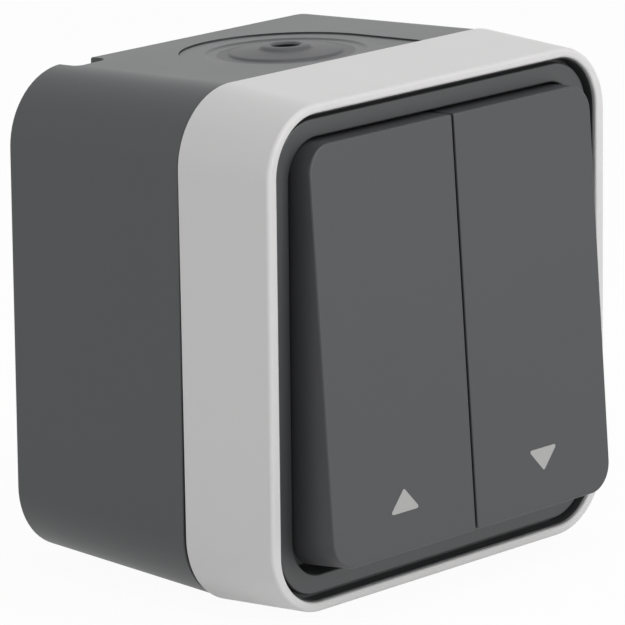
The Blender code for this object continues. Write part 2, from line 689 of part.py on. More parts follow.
def make_support_plate():
    """Steel plate on the pillars, which holds the contact block by its shoulders."""
    half_x, half_z = (half - BOX_WALL - PLATE_MARGIN for half in box_half(PLATE_DEPTH))
    plate = loft("support_plate", [
        section(half_x, half_z, PLATE_CORNER, PLATE_DEPTH, 5),
        section(half_x, half_z, PLATE_CORNER, PLATE_FRONT, 5),
    ])
    window_x = BLOCK_HALF_X - BLOCK_SHOULDER + TOUCH
    cut(plate, loft("plate_window", [
        section(window_x, BLOCK_HALF_Z + TOUCH, BLOCK_CORNER, PLATE_DEPTH - OVERSHOOT, 3),
        section(window_x, BLOCK_HALF_Z + TOUCH, BLOCK_CORNER, PLATE_FRONT + OVERSHOOT, 3),
    ]))
    holes = [("device_left", -DEVICE_SCREW_X, 0), ("device_right", DEVICE_SCREW_X, 0),
             ("cover_left", -COVER_SCREW_X, COVER_SCREW_Z), ("cover_right", COVER_SCREW_X, -COVER_SCREW_Z)]
    for word, x, z in holes:
        cut(plate, rod("plate_hole_" + word, (x, -PLATE_DEPTH + OVERSHOOT, z),
                       (x, -PLATE_FRONT - OVERSHOOT, z), SCREW_RADIUS + TOUCH, steps=16))
    for side, word in ((-1, "left"), (1, "right")):
        pan_screw("device_screw_" + word, side * DEVICE_SCREW_X, 0, PLATE_FRONT + TOUCH, DEVICE_SCREW_LENGTH)
    return finish(plate, STEEL)


def make_contact_block():
    """Moulded block behind the plate: two pockets for the bridges and four cells for the terminals."""
    rear = PLATE_FRONT - BLOCK_DEPTH
    shoulder = PLATE_DEPTH - TOUCH
    wide_z = BLOCK_HALF_Z + BLOCK_SHOULDER
    body = loft("contact_block", [
        section(BLOCK_HALF_X, wide_z, BLOCK_CORNER, rear, 3),
        section(BLOCK_HALF_X, wide_z, BLOCK_CORNER, shoulder, 3),
        section(BLOCK_HALF_X - BLOCK_SHOULDER, BLOCK_HALF_Z, BLOCK_CORNER, shoulder, 3),
        section(BLOCK_HALF_X - BLOCK_SHOULDER, BLOCK_HALF_Z, BLOCK_CORNER, PLATE_FRONT, 3),
    ])
    inner = CRADLE_X - POCKET_HALF_WIDTH
    outer = CRADLE_X + POCKET_HALF_WIDTH
    half = POCKET_HALF_HEIGHT
    channel = STRIP_WIDTH / 2 + TOUCH
    pocket = [(outer, -half), (outer, half), (inner, half), (inner, channel),
              (-inner, channel), (-inner, half), (-outer, half), (-outer, -half),
              (-inner, -half), (-inner, -channel), (inner, -channel), (inner, -half)]
    cut(body, prism("bridge_pockets", pocket, (POCKET_FLOOR, PLATE_FRONT + OVERSHOOT)))
    stop_top = BRIDGE_AXIS_DEPTH - rest_drop() - TOUCH
    for side, word in ((-1, "left"), (1, "right")):
        x = side * CRADLE_X
        join(body, block("bridge_stop_" + word, (x - BRIDGE_WIDTH / 2, x + BRIDGE_WIDTH / 2),
                         (STRIP_FRONT + TOUCH, stop_top),
                         (-half - OVERSHOOT, -BRIDGE_LENGTH / 2 + PIECE_GAP)))
        for up, place in ((1, "upper"), (-1, "lower")):
            cell_z = sorted((up * (CLAMP_START - TOUCH), up * (wide_z + OVERSHOOT)))
            cut(body, block("clamp_cell_" + word + "_" + place,
                            (x - CLAMP_WIDTH / 2 - TOUCH, x + CLAMP_WIDTH / 2 + TOUCH),
                            (CLAMP_BACK - TOUCH, CLAMP_FRONT + TOUCH), cell_z))
            slit_z = sorted((up * (half - OVERSHOOT), up * (CLAMP_START + OVERSHOOT)))
            cut(body, block("strip_slit_" + word + "_" + place,
                            (x - STRIP_WIDTH / 2 - TOUCH, x + STRIP_WIDTH / 2 + TOUCH),
                            (STRIP_DEPTH - PIECE_GAP, STRIP_FRONT + PIECE_GAP), slit_z))
            cut(body, rod("clamp_bore_" + word + "_" + place, (x, -CLAMP_FRONT, up * CLAMP_Z),
                          (x, -PLATE_FRONT - OVERSHOOT, up * CLAMP_Z), SCREW_HEAD_RADIUS + TOUCH, steps=16))
            make_clamp(word + "_" + place, x, up)
    return finish(body, WHITE_PLASTIC)


def rest_drop():
    """How far a bridge's end dips below its axis at either end of its swing."""
    return BRIDGE_LENGTH / 2 * math.sin(math.radians(abs(BRIDGE_RATIO) * REST_TILT))


def make_clamp(word, x, up):
    """Brass box clamp on the end of a strip, with the screw that closes it."""
    z = sorted((up * CLAMP_START, up * (CLAMP_START + CLAMP_LENGTH)))
    clamp = block("terminal_clamp_" + word, (x - CLAMP_WIDTH / 2, x + CLAMP_WIDTH / 2),
                  (CLAMP_BACK, CLAMP_FRONT), z, bevel=TOUCH)
    window = (CLAMP_BACK + CLAMP_FLOOR, CLAMP_BACK + CLAMP_FLOOR + CLAMP_WINDOW_DEPTH)
    cut(clamp, block("clamp_window_" + word, (x - CLAMP_WINDOW_WIDTH / 2, x + CLAMP_WINDOW_WIDTH / 2),
                     window, (z[0] - OVERSHOOT, z[1] + OVERSHOOT)))
    cut(clamp, rod("clamp_thread_" + word, (x, -window[1] + OVERSHOOT, up * CLAMP_Z),
                   (x, -CLAMP_FRONT - OVERSHOOT, up * CLAMP_Z), SCREW_RADIUS + TOUCH, steps=16))
    seat = CLAMP_FRONT + TOUCH
    pan_screw("clamp_screw_" + word, x, up * CLAMP_Z, seat, seat - STRIP_FRONT - TOUCH)
    return finish(clamp, BRASS)


def make_strips():
    """Brass strips: one live bar with a knife edge under each bridge, and one fixed contact each side."""
    half = STRIP_WIDTH / 2
    tail = -STRIP_END
    outer = CRADLE_X + half
    inner = CRADLE_X - half
    bar = [(outer, tail), (outer, half), (-outer, half), (-outer, tail),
           (-inner, tail), (-inner, -half), (inner, -half), (inner, tail)]
    live = prism("live_bar", bar, (STRIP_DEPTH, STRIP_FRONT))
    for side, word in ((-1, "left"), (1, "right")):
        x = side * CRADLE_X
        base = STRIP_FRONT - STRIP_THICKNESS / 2
        tip = BRIDGE_AXIS_DEPTH - TOUCH
        ends = (x - KNIFE_WIDTH / 2, x + KNIFE_WIDTH / 2)
        knife = loft("knife_edge_" + word, [
            outline(*ends, -STRIP_THICKNESS, STRIP_THICKNESS, (0.0001,) * 4, base, 1),
            outline(*ends, -STRIP_THICKNESS / 4, STRIP_THICKNESS / 4, (0.0001,) * 4, tip, 1),
        ])
        join(live, knife)
        strip = prism("fixed_contact_" + word, [
            (x + half, RIVET_REACH - 2 * RIVET_RADIUS), (x + half, STRIP_END), (x - half, STRIP_END),
            (x - half, RIVET_REACH - 2 * RIVET_RADIUS)], (STRIP_DEPTH, STRIP_FRONT))
        rivet_top = BRIDGE_AXIS_DEPTH - rivet_drop() - TOUCH
        join(strip, rod("fixed_rivet_" + word, (x, -STRIP_FRONT + STRIP_THICKNESS / 2, RIVET_REACH),
                        (x, -rivet_top, RIVET_REACH), RIVET_RADIUS, steps=16))
        finish(strip, BRASS)
    return finish(live, BRASS)


def rivet_drop():
    """Depth of the bridge rivet's outer edge below the bridge's axis when the contact is made."""
    angle = math.radians(abs(BRIDGE_RATIO) * REST_TILT)
    return RIVET_HEIGHT * math.cos(angle) + (RIVET_REACH + RIVET_RADIUS) * math.sin(angle)


def make_bearing_frame():
    """Frame on the front of the insert: three cheeks carry the pin, holes give way to the terminals."""
    frame = loft("bearing_frame", [
        section(FRAME_HALF_X, FRAME_HALF_Z, FRAME_CORNER, FRAME_DEPTH, 3),
        section(FRAME_HALF_X, FRAME_HALF_Z, FRAME_CORNER, FRAME_FRONT, 3),
    ])
    cheeks = ((-CHEEK_X - CHEEK_THICKNESS / 2, CHEEK_THICKNESS), (0, 2 * (CRADLE_START - PIECE_GAP)),
              (CHEEK_X + CHEEK_THICKNESS / 2, CHEEK_THICKNESS))
    for number, (x, thickness) in enumerate(cheeks):
        foot = CHEEK_HALF_HEIGHT
        head = CHEEK_RISE
        cheek = loft("cheek_%d" % number, [
            outline(x - thickness / 2, x + thickness / 2, -foot, foot, (TOUCH,) * 4,
                    FRAME_FRONT - FRAME_THICKNESS / 2, 1),
            outline(x - thickness / 2, x + thickness / 2, -head, head, (TOUCH,) * 4, PIVOT_DEPTH, 1),
            outline(x - thickness / 2, x + thickness / 2, -head / 2, head / 2, (TOUCH,) * 4,
                    PIVOT_DEPTH + CHEEK_RISE, 1),
        ])
        join(frame, cheek)
    reach = PIN_END + OVERSHOOT
    cut(frame, rod("pin_bore", (-reach, -PIVOT_DEPTH, 0), (reach, -PIVOT_DEPTH, 0), PIN_RADIUS + PIN_FIT))
    for side, word in ((-1, "left"), (1, "right")):
        x = side * CRADLE_X
        slot_x = PLUNGER_RADIUS + 2 * TOUCH
        slot_z = slot_x + (PIVOT_DEPTH - FRAME_DEPTH) * math.sin(math.radians(REST_TILT))
        cut(frame, block("plunger_slot_" + word, (x - slot_x, x + slot_x),
                         (FRAME_DEPTH - OVERSHOOT, FRAME_FRONT + OVERSHOOT), (-slot_z, slot_z)))
        for up, place in ((1, "upper"), (-1, "lower")):
            cut(frame, rod("driver_hole_" + word + "_" + place, (x, -FRAME_DEPTH + OVERSHOOT, up * CLAMP_Z),
                           (x, -FRAME_FRONT - OVERSHOOT, up * CLAMP_Z), SCREW_HEAD_RADIUS + TOUCH, steps=16))
    finish(rod("pivot_pin", (-PIN_END, -PIVOT_DEPTH, 0), (PIN_END, -PIVOT_DEPTH, 0), PIN_RADIUS), STEEL)
    return finish(frame, BLACK_PLASTIC)


def make_insert_seal():
    """Soft wall between the insert and the well's floor, which keeps water off the contacts."""
    outer_x = WINDOW_HALF_X + SEAL_MARGIN + SEAL_WALL
    outer_z = WINDOW_HEIGHT / 2 + SEAL_MARGIN + SEAL_WALL
    start = FRAME_FRONT + TOUCH
    end = FLOOR_BACK - TOUCH
    corner = WINDOW_CORNER + SEAL_WALL
    seal = loft("insert_seal", [
        section(outer_x, outer_z, corner, start, 4),
        section(outer_x, outer_z, corner, end, 4),
        section(outer_x - SEAL_WALL, outer_z - SEAL_WALL, corner - SEAL_WALL, end, 4),
        section(outer_x - SEAL_WALL, outer_z - SEAL_WALL, corner - SEAL_WALL, start, 4),
    ], closed=True)
    return finish(seal, SOFT_DARK)


def pivot_empty(name, depth, degrees):
    """Empty on a joint's axis. Its children are drawn level, and it turns them to where they rest."""
    empty = bpy.data.objects.new(name, None)
    parts.objects.link(empty)
    empty.location = (0, -depth, 0)
    empty.rotation_euler.x = math.radians(degrees)
    return empty


def make_rocker(word, side, axis):
    """Rocker cap: face, rounded outer corners, a skirt that flares to the back, posts and two hooks."""
    face = FACE_DEPTH - PIVOT_DEPTH
    near = ROCKER_SPLIT / 2
    far = ROCKER_HALF_X
    ceiling = face - ROCKER_FACE
    back = SKIRT_DEPTH - PIVOT_DEPTH

    def shape(inset, depth, flare=0.0):
        x = sorted((side * (near + inset), side * (far - inset + flare)))
        z = ROCKER_HALF_Z - inset + flare
        big = ROCKER_CORNER - inset
        small = max(ROCKER_INNER_CORNER - inset, TOUCH / 2)
        radii = (big, small, small, big) if side > 0 else (small, big, big, small)
        return outline(*x, -z, z, radii, depth, 5)

    rocker = loft("rocker_" + word, [
        shape(ROCKER_WALL, ceiling),
        shape(ROCKER_WALL, back, ROCKER_FLARE),
        shape(0, back, ROCKER_FLARE),
        shape(0, face - ROCKER_EDGE),
        shape(ROCKER_EDGE * 0.3, face - ROCKER_EDGE * 0.3),
        shape(ROCKER_EDGE, face),
    ], parent=axis)
    x = side * CRADLE_X
    platform_front = face - PLATFORM_SETBACK
    platform_back = platform_front - PLATFORM_THICKNESS
    half = PLATFORM_HEIGHT / 2
    for up, place in ((1, "upper"), (-1, "lower")):
        leg_z = sorted((up * (half + TOUCH), up * (half + TOUCH + HOOK_THICKNESS)))
        leg = block("hook_%s_%s" % (word, place), (x - HOOK_WIDTH / 2, x + HOOK_WIDTH / 2),
                    (platform_back - TOUCH - HOOK_BARB, ceiling + ROCKER_FACE / 2), leg_z, parent=axis)
        join(rocker, leg)
        barb_z = sorted((up * (half - HOOK_BARB), up * (half + TOUCH + HOOK_THICKNESS / 2)))
        barb = block("barb_%s_%s" % (word, place), (x - HOOK_WIDTH / 2 + TOUCH, x + HOOK_WIDTH / 2 - TOUCH),
                     (platform_back - TOUCH - HOOK_BARB * 0.9, platform_back - TOUCH), barb_z, parent=axis)
        join(rocker, barb)
        for turn, spot in ((-1, "a"), (1, "b")):
            post_x = x + turn * ((CRADLE_END - CRADLE_START) / 2 - 2 * POST_RADIUS)
            post_z = up * (half - 2 * POST_RADIUS)
            join(rocker, rod("post_%s_%s_%s" % (word, place, spot),
                             (post_x, -(platform_front + TOUCH), post_z),
                             (post_x, -(ceiling + ROCKER_FACE / 2), post_z),
                             POST_RADIUS, parent=axis, steps=12))
    return finish(rocker, ROCKER_PLASTIC)


def make_cradle(word, side, axis):
    """Carrier: platform under the cap, hub on the pin and a tube for the sprung plunger."""
    x = side * CRADLE_X
    ends = sorted((side * CRADLE_START, side * CRADLE_END))
    platform_front = FACE_DEPTH - PIVOT_DEPTH - PLATFORM_SETBACK
    platform_back = platform_front - PLATFORM_THICKNESS
    half = PLATFORM_HEIGHT / 2
    cradle = block("cradle_" + word, ends, (platform_back, platform_front), (-half, half), parent=axis)
    web_inset = OVERSHOOT
    join(cradle, block("web_" + word, (ends[0] + web_inset, ends[1] - web_inset),
                       (0, platform_back + PLATFORM_THICKNESS / 2), (-WEB_THICKNESS / 2, WEB_THICKNESS / 2),
                       parent=axis))
    join(cradle, rod("hub_" + word, (ends[0], 0, 0), (ends[1], 0, 0), HUB_RADIUS, parent=axis))
    for offset, spot in ((-0.35, "a"), (0.35, "b")):
        rib_x = x + offset * (CRADLE_END - CRADLE_START)
        join(cradle, gusset(word + "_" + spot, rib_x, platform_back, half, axis))
    tube_end = PIVOT_DEPTH - FRAME_FRONT - TUBE_GAP
    join(cradle, rod("tube_" + word, (x, HUB_RADIUS / 2, 0), (x, tube_end, 0), TUBE_RADIUS, parent=axis))
    cut(cradle, rod("hub_bore_" + word, (ends[0] - OVERSHOOT, 0, 0), (ends[1] + OVERSHOOT, 0, 0),
                    PIN_RADIUS + PIN_FIT, parent=axis))
    cut(cradle, rod("tube_bore_" + word, (x, BORE_ROOF, 0), (x, tube_end + OVERSHOOT, 0), TUBE_BORE,
                    parent=axis, steps=20))
    return finish(cradle, BLACK_PLASTIC)


def gusset(word, x, top, half, axis):
    """Rib from the hub out to the platform."""
    bm = bmesh.new()
    thick = GUSSET_THICKNESS / 2
    foot = HUB_RADIUS * 0.7
    shape = [(-half * 0.8, top + PLATFORM_THICKNESS / 2), (-foot, foot), (foot, foot),
             (half * 0.8, top + PLATFORM_THICKNESS / 2)]
    near = [bm.verts.new((x - thick, -depth, z)) for z, depth in shape]
    far = [bm.verts.new((x + thick, -depth, z)) for z, depth in shape]
    bm.faces.new(near)
    bm.faces.new(reversed(far))
    for i in range(len(shape)):
        j = (i + 1) % len(shape)
        bm.faces.new((near[i], far[i], far[j], near[j]))
    bmesh.ops.recalc_face_normals(bm, faces=bm.faces)
    return new_object("gusset_" + word, bm, axis)


def make_plunger(word, side, axis):
    """Round-nosed pin that the spring presses onto the bridge, drawn along the cradle's tube."""
    x = side * CRADLE_X
    top = BORE_ROOF + SPRING_LENGTH
    length = PIVOT_DEPTH - BRIDGE_DEPTH - TOUCH - top
    profile = [(0, 0)]
    for step in range(5):
        angle = math.radians(22.5 * step)
        profile.append((PLUNGER_TIP + (PLUNGER_RADIUS - PLUNGER_TIP) * math.cos(angle),
                        -(length - PLUNGER_RADIUS) - PLUNGER_RADIUS * math.sin(angle)))
    profile.insert(1, (PLUNGER_RADIUS, 0))
    profile.append((0, -length))
    plunger = turned("plunger_" + word, profile, (x, top, 0), tilt=90, parent=axis, steps=16)
    return finish(plunger, BRASS)


def make_spring(word, side, axis):
    """Small coil between the roof of the tube's bore and the plunger."""
    x = side * CRADLE_X
    radius = PLUNGER_RADIUS - SPRING_INSET + SPRING_WIRE / 2
    start = BORE_ROOF + TOUCH + SPRING_WIRE / 2
    end = BORE_ROOF + SPRING_LENGTH - TOUCH - SPRING_WIRE / 2
    steps = SPRING_TURNS * 10
    curve = bpy.data.curves.new("plunger_spring_" + word, "CURVE")
    curve.dimensions = "3D"
    curve.bevel_depth = SPRING_WIRE / 2
    curve.bevel_resolution = 1
    curve.use_fill_caps = True
    spline = curve.splines.new("POLY")
    spline.points.add(steps)
    for step in range(steps + 1):
        angle = 2 * math.pi * SPRING_TURNS * step / steps
        y = start + (end - start) * step / steps
        spline.points[step].co = (x + radius * math.cos(angle), y, radius * math.sin(angle), 1)
    spring = bpy.data.objects.new("plunger_spring_" + word, curve)
    parts.objects.link(spring)
    spring.parent = axis
    return finish(spring, STEEL)


def make_bridge(word, side):
    """Rocking contact bridge on its knife edge, with a silver rivet on its upper arm."""
    axis = pivot_empty("bridge_axis_" + word, BRIDGE_AXIS_DEPTH, abs(BRIDGE_RATIO) * REST_TILT)
    x = side * CRADLE_X
    half_x = BRIDGE_WIDTH / 2
    bridge = block("contact_bridge_" + word, (x - half_x, x + half_x), (0, BRIDGE_THICKNESS),
                   (-BRIDGE_LENGTH / 2, BRIDGE_LENGTH / 2), parent=axis)
    join(bridge, rod("bridge_rivet_" + word, (x, RIVET_HEIGHT, RIVET_REACH),
                     (x, -BRIDGE_THICKNESS / 2, RIVET_REACH), RIVET_RADIUS, parent=axis, steps=16))
    return finish(bridge, BRASS)


clear_scene()
make_back_box()
make_gasket()
make_collar()
make_cover_ring()
make_support_plate()
make_contact_block()
make_strips()
make_bearing_frame()
make_insert_seal()
for word, side in (("left", -1), ("right", 1)):
    rocker_axis = pivot_empty("rocker_axis_" + word, PIVOT_DEPTH, -REST_TILT)
    make_rocker(word, side, rocker_axis)
    make_cradle(word, side, rocker_axis)
    make_plunger(word, side, rocker_axis)
    make_spring(word, side, rocker_axis)
    make_bridge(word, side)
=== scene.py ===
"""Looks of a surface-mounted roller shutter switch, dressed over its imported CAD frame.

The file follows the switch as it is put together: back box, cable entries, inner works, seam gasket,
collar, cover ring, rockers, and then the studio. Lengths are in metres, the wall is y = 0, the front
looks along -Y, and a depth is a distance from the wall.
"""
import math

import bmesh
import bpy
from mathutils import Matrix, Vector


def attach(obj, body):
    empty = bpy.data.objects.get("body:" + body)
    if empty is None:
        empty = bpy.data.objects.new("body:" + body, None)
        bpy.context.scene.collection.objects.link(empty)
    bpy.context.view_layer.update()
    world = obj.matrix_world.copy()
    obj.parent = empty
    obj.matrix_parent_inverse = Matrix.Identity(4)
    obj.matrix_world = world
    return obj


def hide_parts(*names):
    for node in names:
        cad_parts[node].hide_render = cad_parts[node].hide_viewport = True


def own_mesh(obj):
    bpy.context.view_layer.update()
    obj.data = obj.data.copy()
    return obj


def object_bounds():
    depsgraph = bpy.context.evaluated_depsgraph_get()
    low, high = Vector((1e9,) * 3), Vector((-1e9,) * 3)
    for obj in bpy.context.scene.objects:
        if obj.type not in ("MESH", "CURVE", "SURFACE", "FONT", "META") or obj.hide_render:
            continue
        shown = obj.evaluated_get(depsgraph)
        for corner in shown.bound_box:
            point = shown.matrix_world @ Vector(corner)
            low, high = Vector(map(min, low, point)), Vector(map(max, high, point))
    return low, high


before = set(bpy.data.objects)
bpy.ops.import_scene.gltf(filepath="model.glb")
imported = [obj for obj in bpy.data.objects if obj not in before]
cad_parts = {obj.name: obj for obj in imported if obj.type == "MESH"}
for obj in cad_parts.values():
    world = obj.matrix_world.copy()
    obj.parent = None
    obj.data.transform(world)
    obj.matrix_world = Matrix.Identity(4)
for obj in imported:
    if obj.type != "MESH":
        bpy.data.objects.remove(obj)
cad_box = [list(corner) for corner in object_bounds()]

# Back box
# An anthracite moulding with drafted walls, screwed to the wall through two slots. Inside it carries the
# pillars for the insert, and a groove round its mouth takes the soft gasket.
touch = 0.0003  # gap that stands for faces that touch
overcut = 0.001  # how far a cutting tool reaches past a face
box_half_x = 0.03813
box_half_z = 0.03879
box_depth = 0.0355
box_draft_x = 0.00085
box_draft_z = 0.00151
box_corner = 0.0112
box_wall = 0.0024
box_back_wall = 0.0026
box_lip = 0.0011
gasket_height = 0.0013
pillar_radius = 0.0040
rib_half = 0.0015
screw_radius = 0.0014
screw_room = 0.013
plate_back = 0.0312
plate_front = 0.0322
plate_screw_x = 0.03015
entry_depth = 0.0220
entry_neck = 0.0082
entry_rim = 0.0102
entry_flange = 0.0012
recess_radius = 0.0162
recess_floor = 0.00026
ring_floor = 0.00052
seat_floor = 0.00165


def rounded_outline(x, z, radii, depth, steps=16):
    """Rounded rectangle between two x and two z values, its radii from the upper right, anticlockwise."""
    corners = ((x[1], z[1], 1, 1), (x[0], z[1], -1, 1), (x[0], z[0], -1, -1), (x[1], z[0], 1, -1))
    points = []
    for number, ((edge_x, edge_z, side_x, side_z), radius) in enumerate(zip(corners, radii)):
        for step in range(steps + 1):
            angle = math.radians(90 * (number + step / steps))
            points.append(Vector((edge_x - side_x * radius + radius * math.cos(angle), -depth,
                                  edge_z - side_z * radius + radius * math.sin(angle))))
    return points


def frame_outline(half_x, half_z, radius, depth, steps=16):
    """Rounded rectangle about the middle of the switch."""
    return rounded_outline((-half_x, half_x), (-half_z, half_z), (radius,) * 4, depth, steps)


def new_piece(name, bm):
    """Object at the origin that holds a finished bmesh, its faces turned outwards."""
    bmesh.ops.remove_doubles(bm, verts=bm.verts, dist=1e-7)
    bmesh.ops.recalc_face_normals(bm, faces=bm.faces)
    mesh = bpy.data.meshes.new(name)
    bm.to_mesh(mesh)
    bm.free()
    piece = bpy.data.objects.new(name, mesh)
    bpy.context.scene.collection.objects.link(piece)
    return piece


def skin(name, outlines, closed=False):
    """Wall over a row of like outlines, capped at both ends or closed into a ring."""
    bm = bmesh.new()
    rows = [[bm.verts.new(point) for point in outline] for outline in outlines]
    pairs = list(zip(rows, rows[1:]))
    if closed:
        pairs.append((rows[-1], rows[0]))
    else:
        bm.faces.new(reversed(rows[0]))
        bm.faces.new(rows[-1])
    for near, far in pairs:
        for i in range(len(near)):
            j = (i + 1) % len(near)
            bm.faces.new((near[i], near[j], far[j], far[i]))
    return new_piece(name, bm)


def turned(name, profile, steps=64, ring=False):
    """Profile of (radius, height) points spun round Z, from axis to axis or closed into a ring."""
    bm = bmesh.new()
    points = [bm.verts.new((radius, 0, height)) for radius, height in profile]
    edges = [bm.edges.new(pair) for pair in zip(points, points[1:])]
    if ring:
        edges.append(bm.edges.new((points[-1], points[0])))
    bmesh.ops.spin(bm, geom=points + edges, cent=(0, 0, 0), axis=(0, 0, 1), angle=2 * math.pi,
                   steps=steps, use_merge=True)
    return new_piece(name, bm)


def rod(name, start, end, radius, steps=40):
    """Round bar between two points."""
    start = Vector(start)
    end = Vector(end)
    length = (end - start).length
    piece = turned(name, [(0, 0), (radius, 0), (radius, length), (0, length)], steps)
    turn = (end - start).to_track_quat("Z", "Y").to_matrix().to_4x4()
    piece.data.transform(Matrix.Translation(start) @ turn)
    return piece


def bar(name, x, depth, z):
    """Square bar between two values each of x, depth and z."""
    corners = ((1, 1), (0, 1), (0, 0), (1, 0))
    return skin(name, [[Vector((x[i], -d, z[j])) for i, j in corners] for d in depth])


def plain_mesh(piece):
    """Turn what a piece's modifiers make into its own mesh, and close the hairline gaps that cuts leave."""
    bpy.context.view_layer.update()
    graph = bpy.context.evaluated_depsgraph_get()
    mesh = bpy.data.meshes.new_from_object(piece.evaluated_get(graph), depsgraph=graph)
    piece.modifiers.clear()
    bm = bmesh.new()
    bm.from_mesh(mesh)
    bmesh.ops.remove_doubles(bm, verts=bm.verts, dist=2e-7)
    bmesh.ops.dissolve_degenerate(bm, edges=bm.edges, dist=2e-7)
    bm.to_mesh(mesh)
    bm.free()
    piece.data = mesh


def work(piece, operation, tools):
    """Cut tools out of a piece, or weld them to it, one after the other."""
    for tool in tools:
        modifier = piece.modifiers.new(tool.name, "BOOLEAN")
        modifier.operation = operation
        modifier.solver = "EXACT"
        modifier.object = tool
        plain_mesh(piece)
        bpy.data.objects.remove(tool)


def box_half(depth):
    """Half width and half height of the drafted walls."""
    share = 1 - depth / box_depth
    return box_half_x - box_draft_x * share, box_half_z - box_draft_z * share


def box_outline(depth, inset):
    half_x, half_z = box_half(depth)
    return frame_outline(half_x - inset, half_z - inset, box_corner - inset, depth)


def entry_place(side):
    """Place of a cable entry: its Z points out of the sloping top (1) or bottom (-1) wall."""
    turn = -side * math.atan(box_draft_z / box_depth) + (0 if side > 0 else math.pi)
    middle = (0, -entry_depth, side * box_half(entry_depth)[1])
    return Matrix.Translation(middle) @ Matrix.Rotation(turn, 4, "X")


def recess_outline(radius, height, side):
    """U round a cable entry: half a circle at the back and straight sides out to the seam."""
    front = -side * (box_depth - entry_depth + box_wall)
    arc = [math.pi * step / 48 for step in range(49)]
    points = [(radius * math.cos(angle), side * radius * math.sin(angle)) for angle in arc]
    points += [(-radius, front), (radius, front)]
    return [Vector((x, y, height)) for x, y in points]


def rounded_mouth(edge):
    """Steps of (growth, depth) that round the rim of a hole over and carry on out of the surface."""
    rim = [(edge * (1 - math.cos(math.radians(a))), edge * (1 - math.sin(math.radians(a))))
           for a in (0, 22.5, 45, 67.5)]
    return rim + [(edge * 1.8, edge * -0.16), (edge * 1.8, -overcut)]


back_edge = 0.0004
mouth_edge = 0.00025
walls = [box_outline(back_edge * (1 - math.cos(math.radians(18 * i))),
                     back_edge * (1 - math.sin(math.radians(18 * i)))) for i in range(6)]
walls += [box_outline(box_depth - mouth_edge * (1 - math.sin(math.radians(22.5 * i))),
                      mouth_edge * (1 - math.cos(math.radians(22.5 * i)))) for i in range(5)]
walls += [box_outline(box_depth, box_lip), box_outline(box_depth - gasket_height, box_lip),
          box_outline(box_depth - gasket_height, box_wall), box_outline(box_back_wall, box_wall)]
box_shell = skin("box_shell", walls)

welded = []
cuts = []
slot_half_long = 0.0050
slot_half_short = 0.0024
slot_edge = 0.0003
slot_inset = 0.0118
pad_radius = 0.0060
pad_depth = 0.0056
for side, word in ((-1, "left"), (1, "right")):
    pillar_end = plate_back - touch
    x = side * plate_screw_x
    welded.append(rod("pillar_" + word, (x, -box_back_wall / 2, 0), (x, -pillar_end, 0), pillar_radius))
    welded.append(bar("rib_" + word, sorted((x, side * (box_half(box_depth / 2)[0] - box_wall / 2))),
                      (box_back_wall * 0.6, pillar_end - 0.001), (-rib_half, rib_half)))
    cuts.append(rod("bore_" + word, (x, -pillar_end - overcut, 0), (x, -plate_front + screw_room, 0),
                    screw_radius + touch))
    x = side * (box_half(0)[0] - slot_inset)
    z = -side * (box_half(0)[1] - slot_inset)
    welded.append(rod("pad_" + word, (x, -box_back_wall / 2, z), (x, -pad_depth, z), pad_radius))
    lying, upright = (slot_half_long, slot_half_short) if side < 0 else (slot_half_short, slot_half_long)
    slot = []
    for grow, depth in [(0, pad_depth + overcut)] + rounded_mouth(slot_edge):
        slot.append(rounded_outline(
            (x - lying - grow, x + lying + grow), (z - upright - grow, z + upright + grow),
            ((slot_half_short + grow) * 0.98,) * 4, depth, 8))
    cuts.append(skin("slot_" + word, slot))
seat_radius = entry_rim + touch
shallow_ring = [(0.01285, -0.00016), (0.01270, -0.00021), (0.01250, -0.00025), (0.01230, -0.00033),
                (0.01210, -0.00042), (0.01190, -0.00048), (0.01160, -0.00051), (0.01120, -ring_floor)]
tool_top = 0.0006
undercut = 0.00025
undercut_top = recess_floor * 0.26
recess_edge = 0.00004
levels = [(undercut, recess_floor), (undercut, undercut_top), (0, recess_floor * 0.20)]
levels += rounded_mouth(recess_edge)
for side, word in ((1, "top"), (-1, "bottom")):
    place = entry_place(side)
    recess = skin("recess_" + word,
                  [recess_outline(recess_radius + grow, -depth, side) for grow, depth in levels])
    seat = turned("seat_" + word, [(0, tool_top), (shallow_ring[0][0], tool_top)] + shallow_ring + [
        (seat_radius, -ring_floor), (seat_radius, -seat_floor), (entry_neck + touch, -seat_floor),
        (entry_neck + touch, -box_wall - overcut), (0, -box_wall - overcut)], steps=96)
    for tool in (recess, seat):
        tool.data.transform(place)
        cuts.append(tool)
groove_radius = 0.0100
groove_width = 0.0006
groove_edge = 0.00012
rim = rounded_mouth(groove_edge)
groove = turned("knock_out_groove", [(groove_radius + grow, depth) for grow, depth in rim[::-1]] + [
    (groove_radius, groove_width), (groove_radius - groove_width, groove_width)] + [
    (groove_radius - groove_width - grow, depth) for grow, depth in rim], ring=True)
groove.data.transform(Matrix.Rotation(math.radians(90), 4, "X"))
cuts.append(groove)

# The lever notch in the top rear edge, with rounded ends.
notch_left = -0.0266
notch_right = -0.01955
notch_floor = box_half(0)[1] - 0.0014
left_round = 0.0012
right_round = 0.0020
notch_plan = [(notch_left, overcut)]
for x, y, radius, start in ((notch_left + left_round, -0.0030, left_round, 180),
                            (notch_right - right_round, -0.0019, right_round, 270)):
    for step in range(9):
        angle = math.radians(start + 11.25 * step)
        notch_plan.append((x + radius * math.cos(angle), y + radius * math.sin(angle)))
notch_plan.append((notch_right, overcut))
cuts.append(skin("notch", [[Vector((x, y, z)) for x, y in notch_plan]
                           for z in (notch_floor, box_half_z + overcut)]))
work(box_shell, "UNION", welded)
work(box_shell, "DIFFERENCE", cuts)


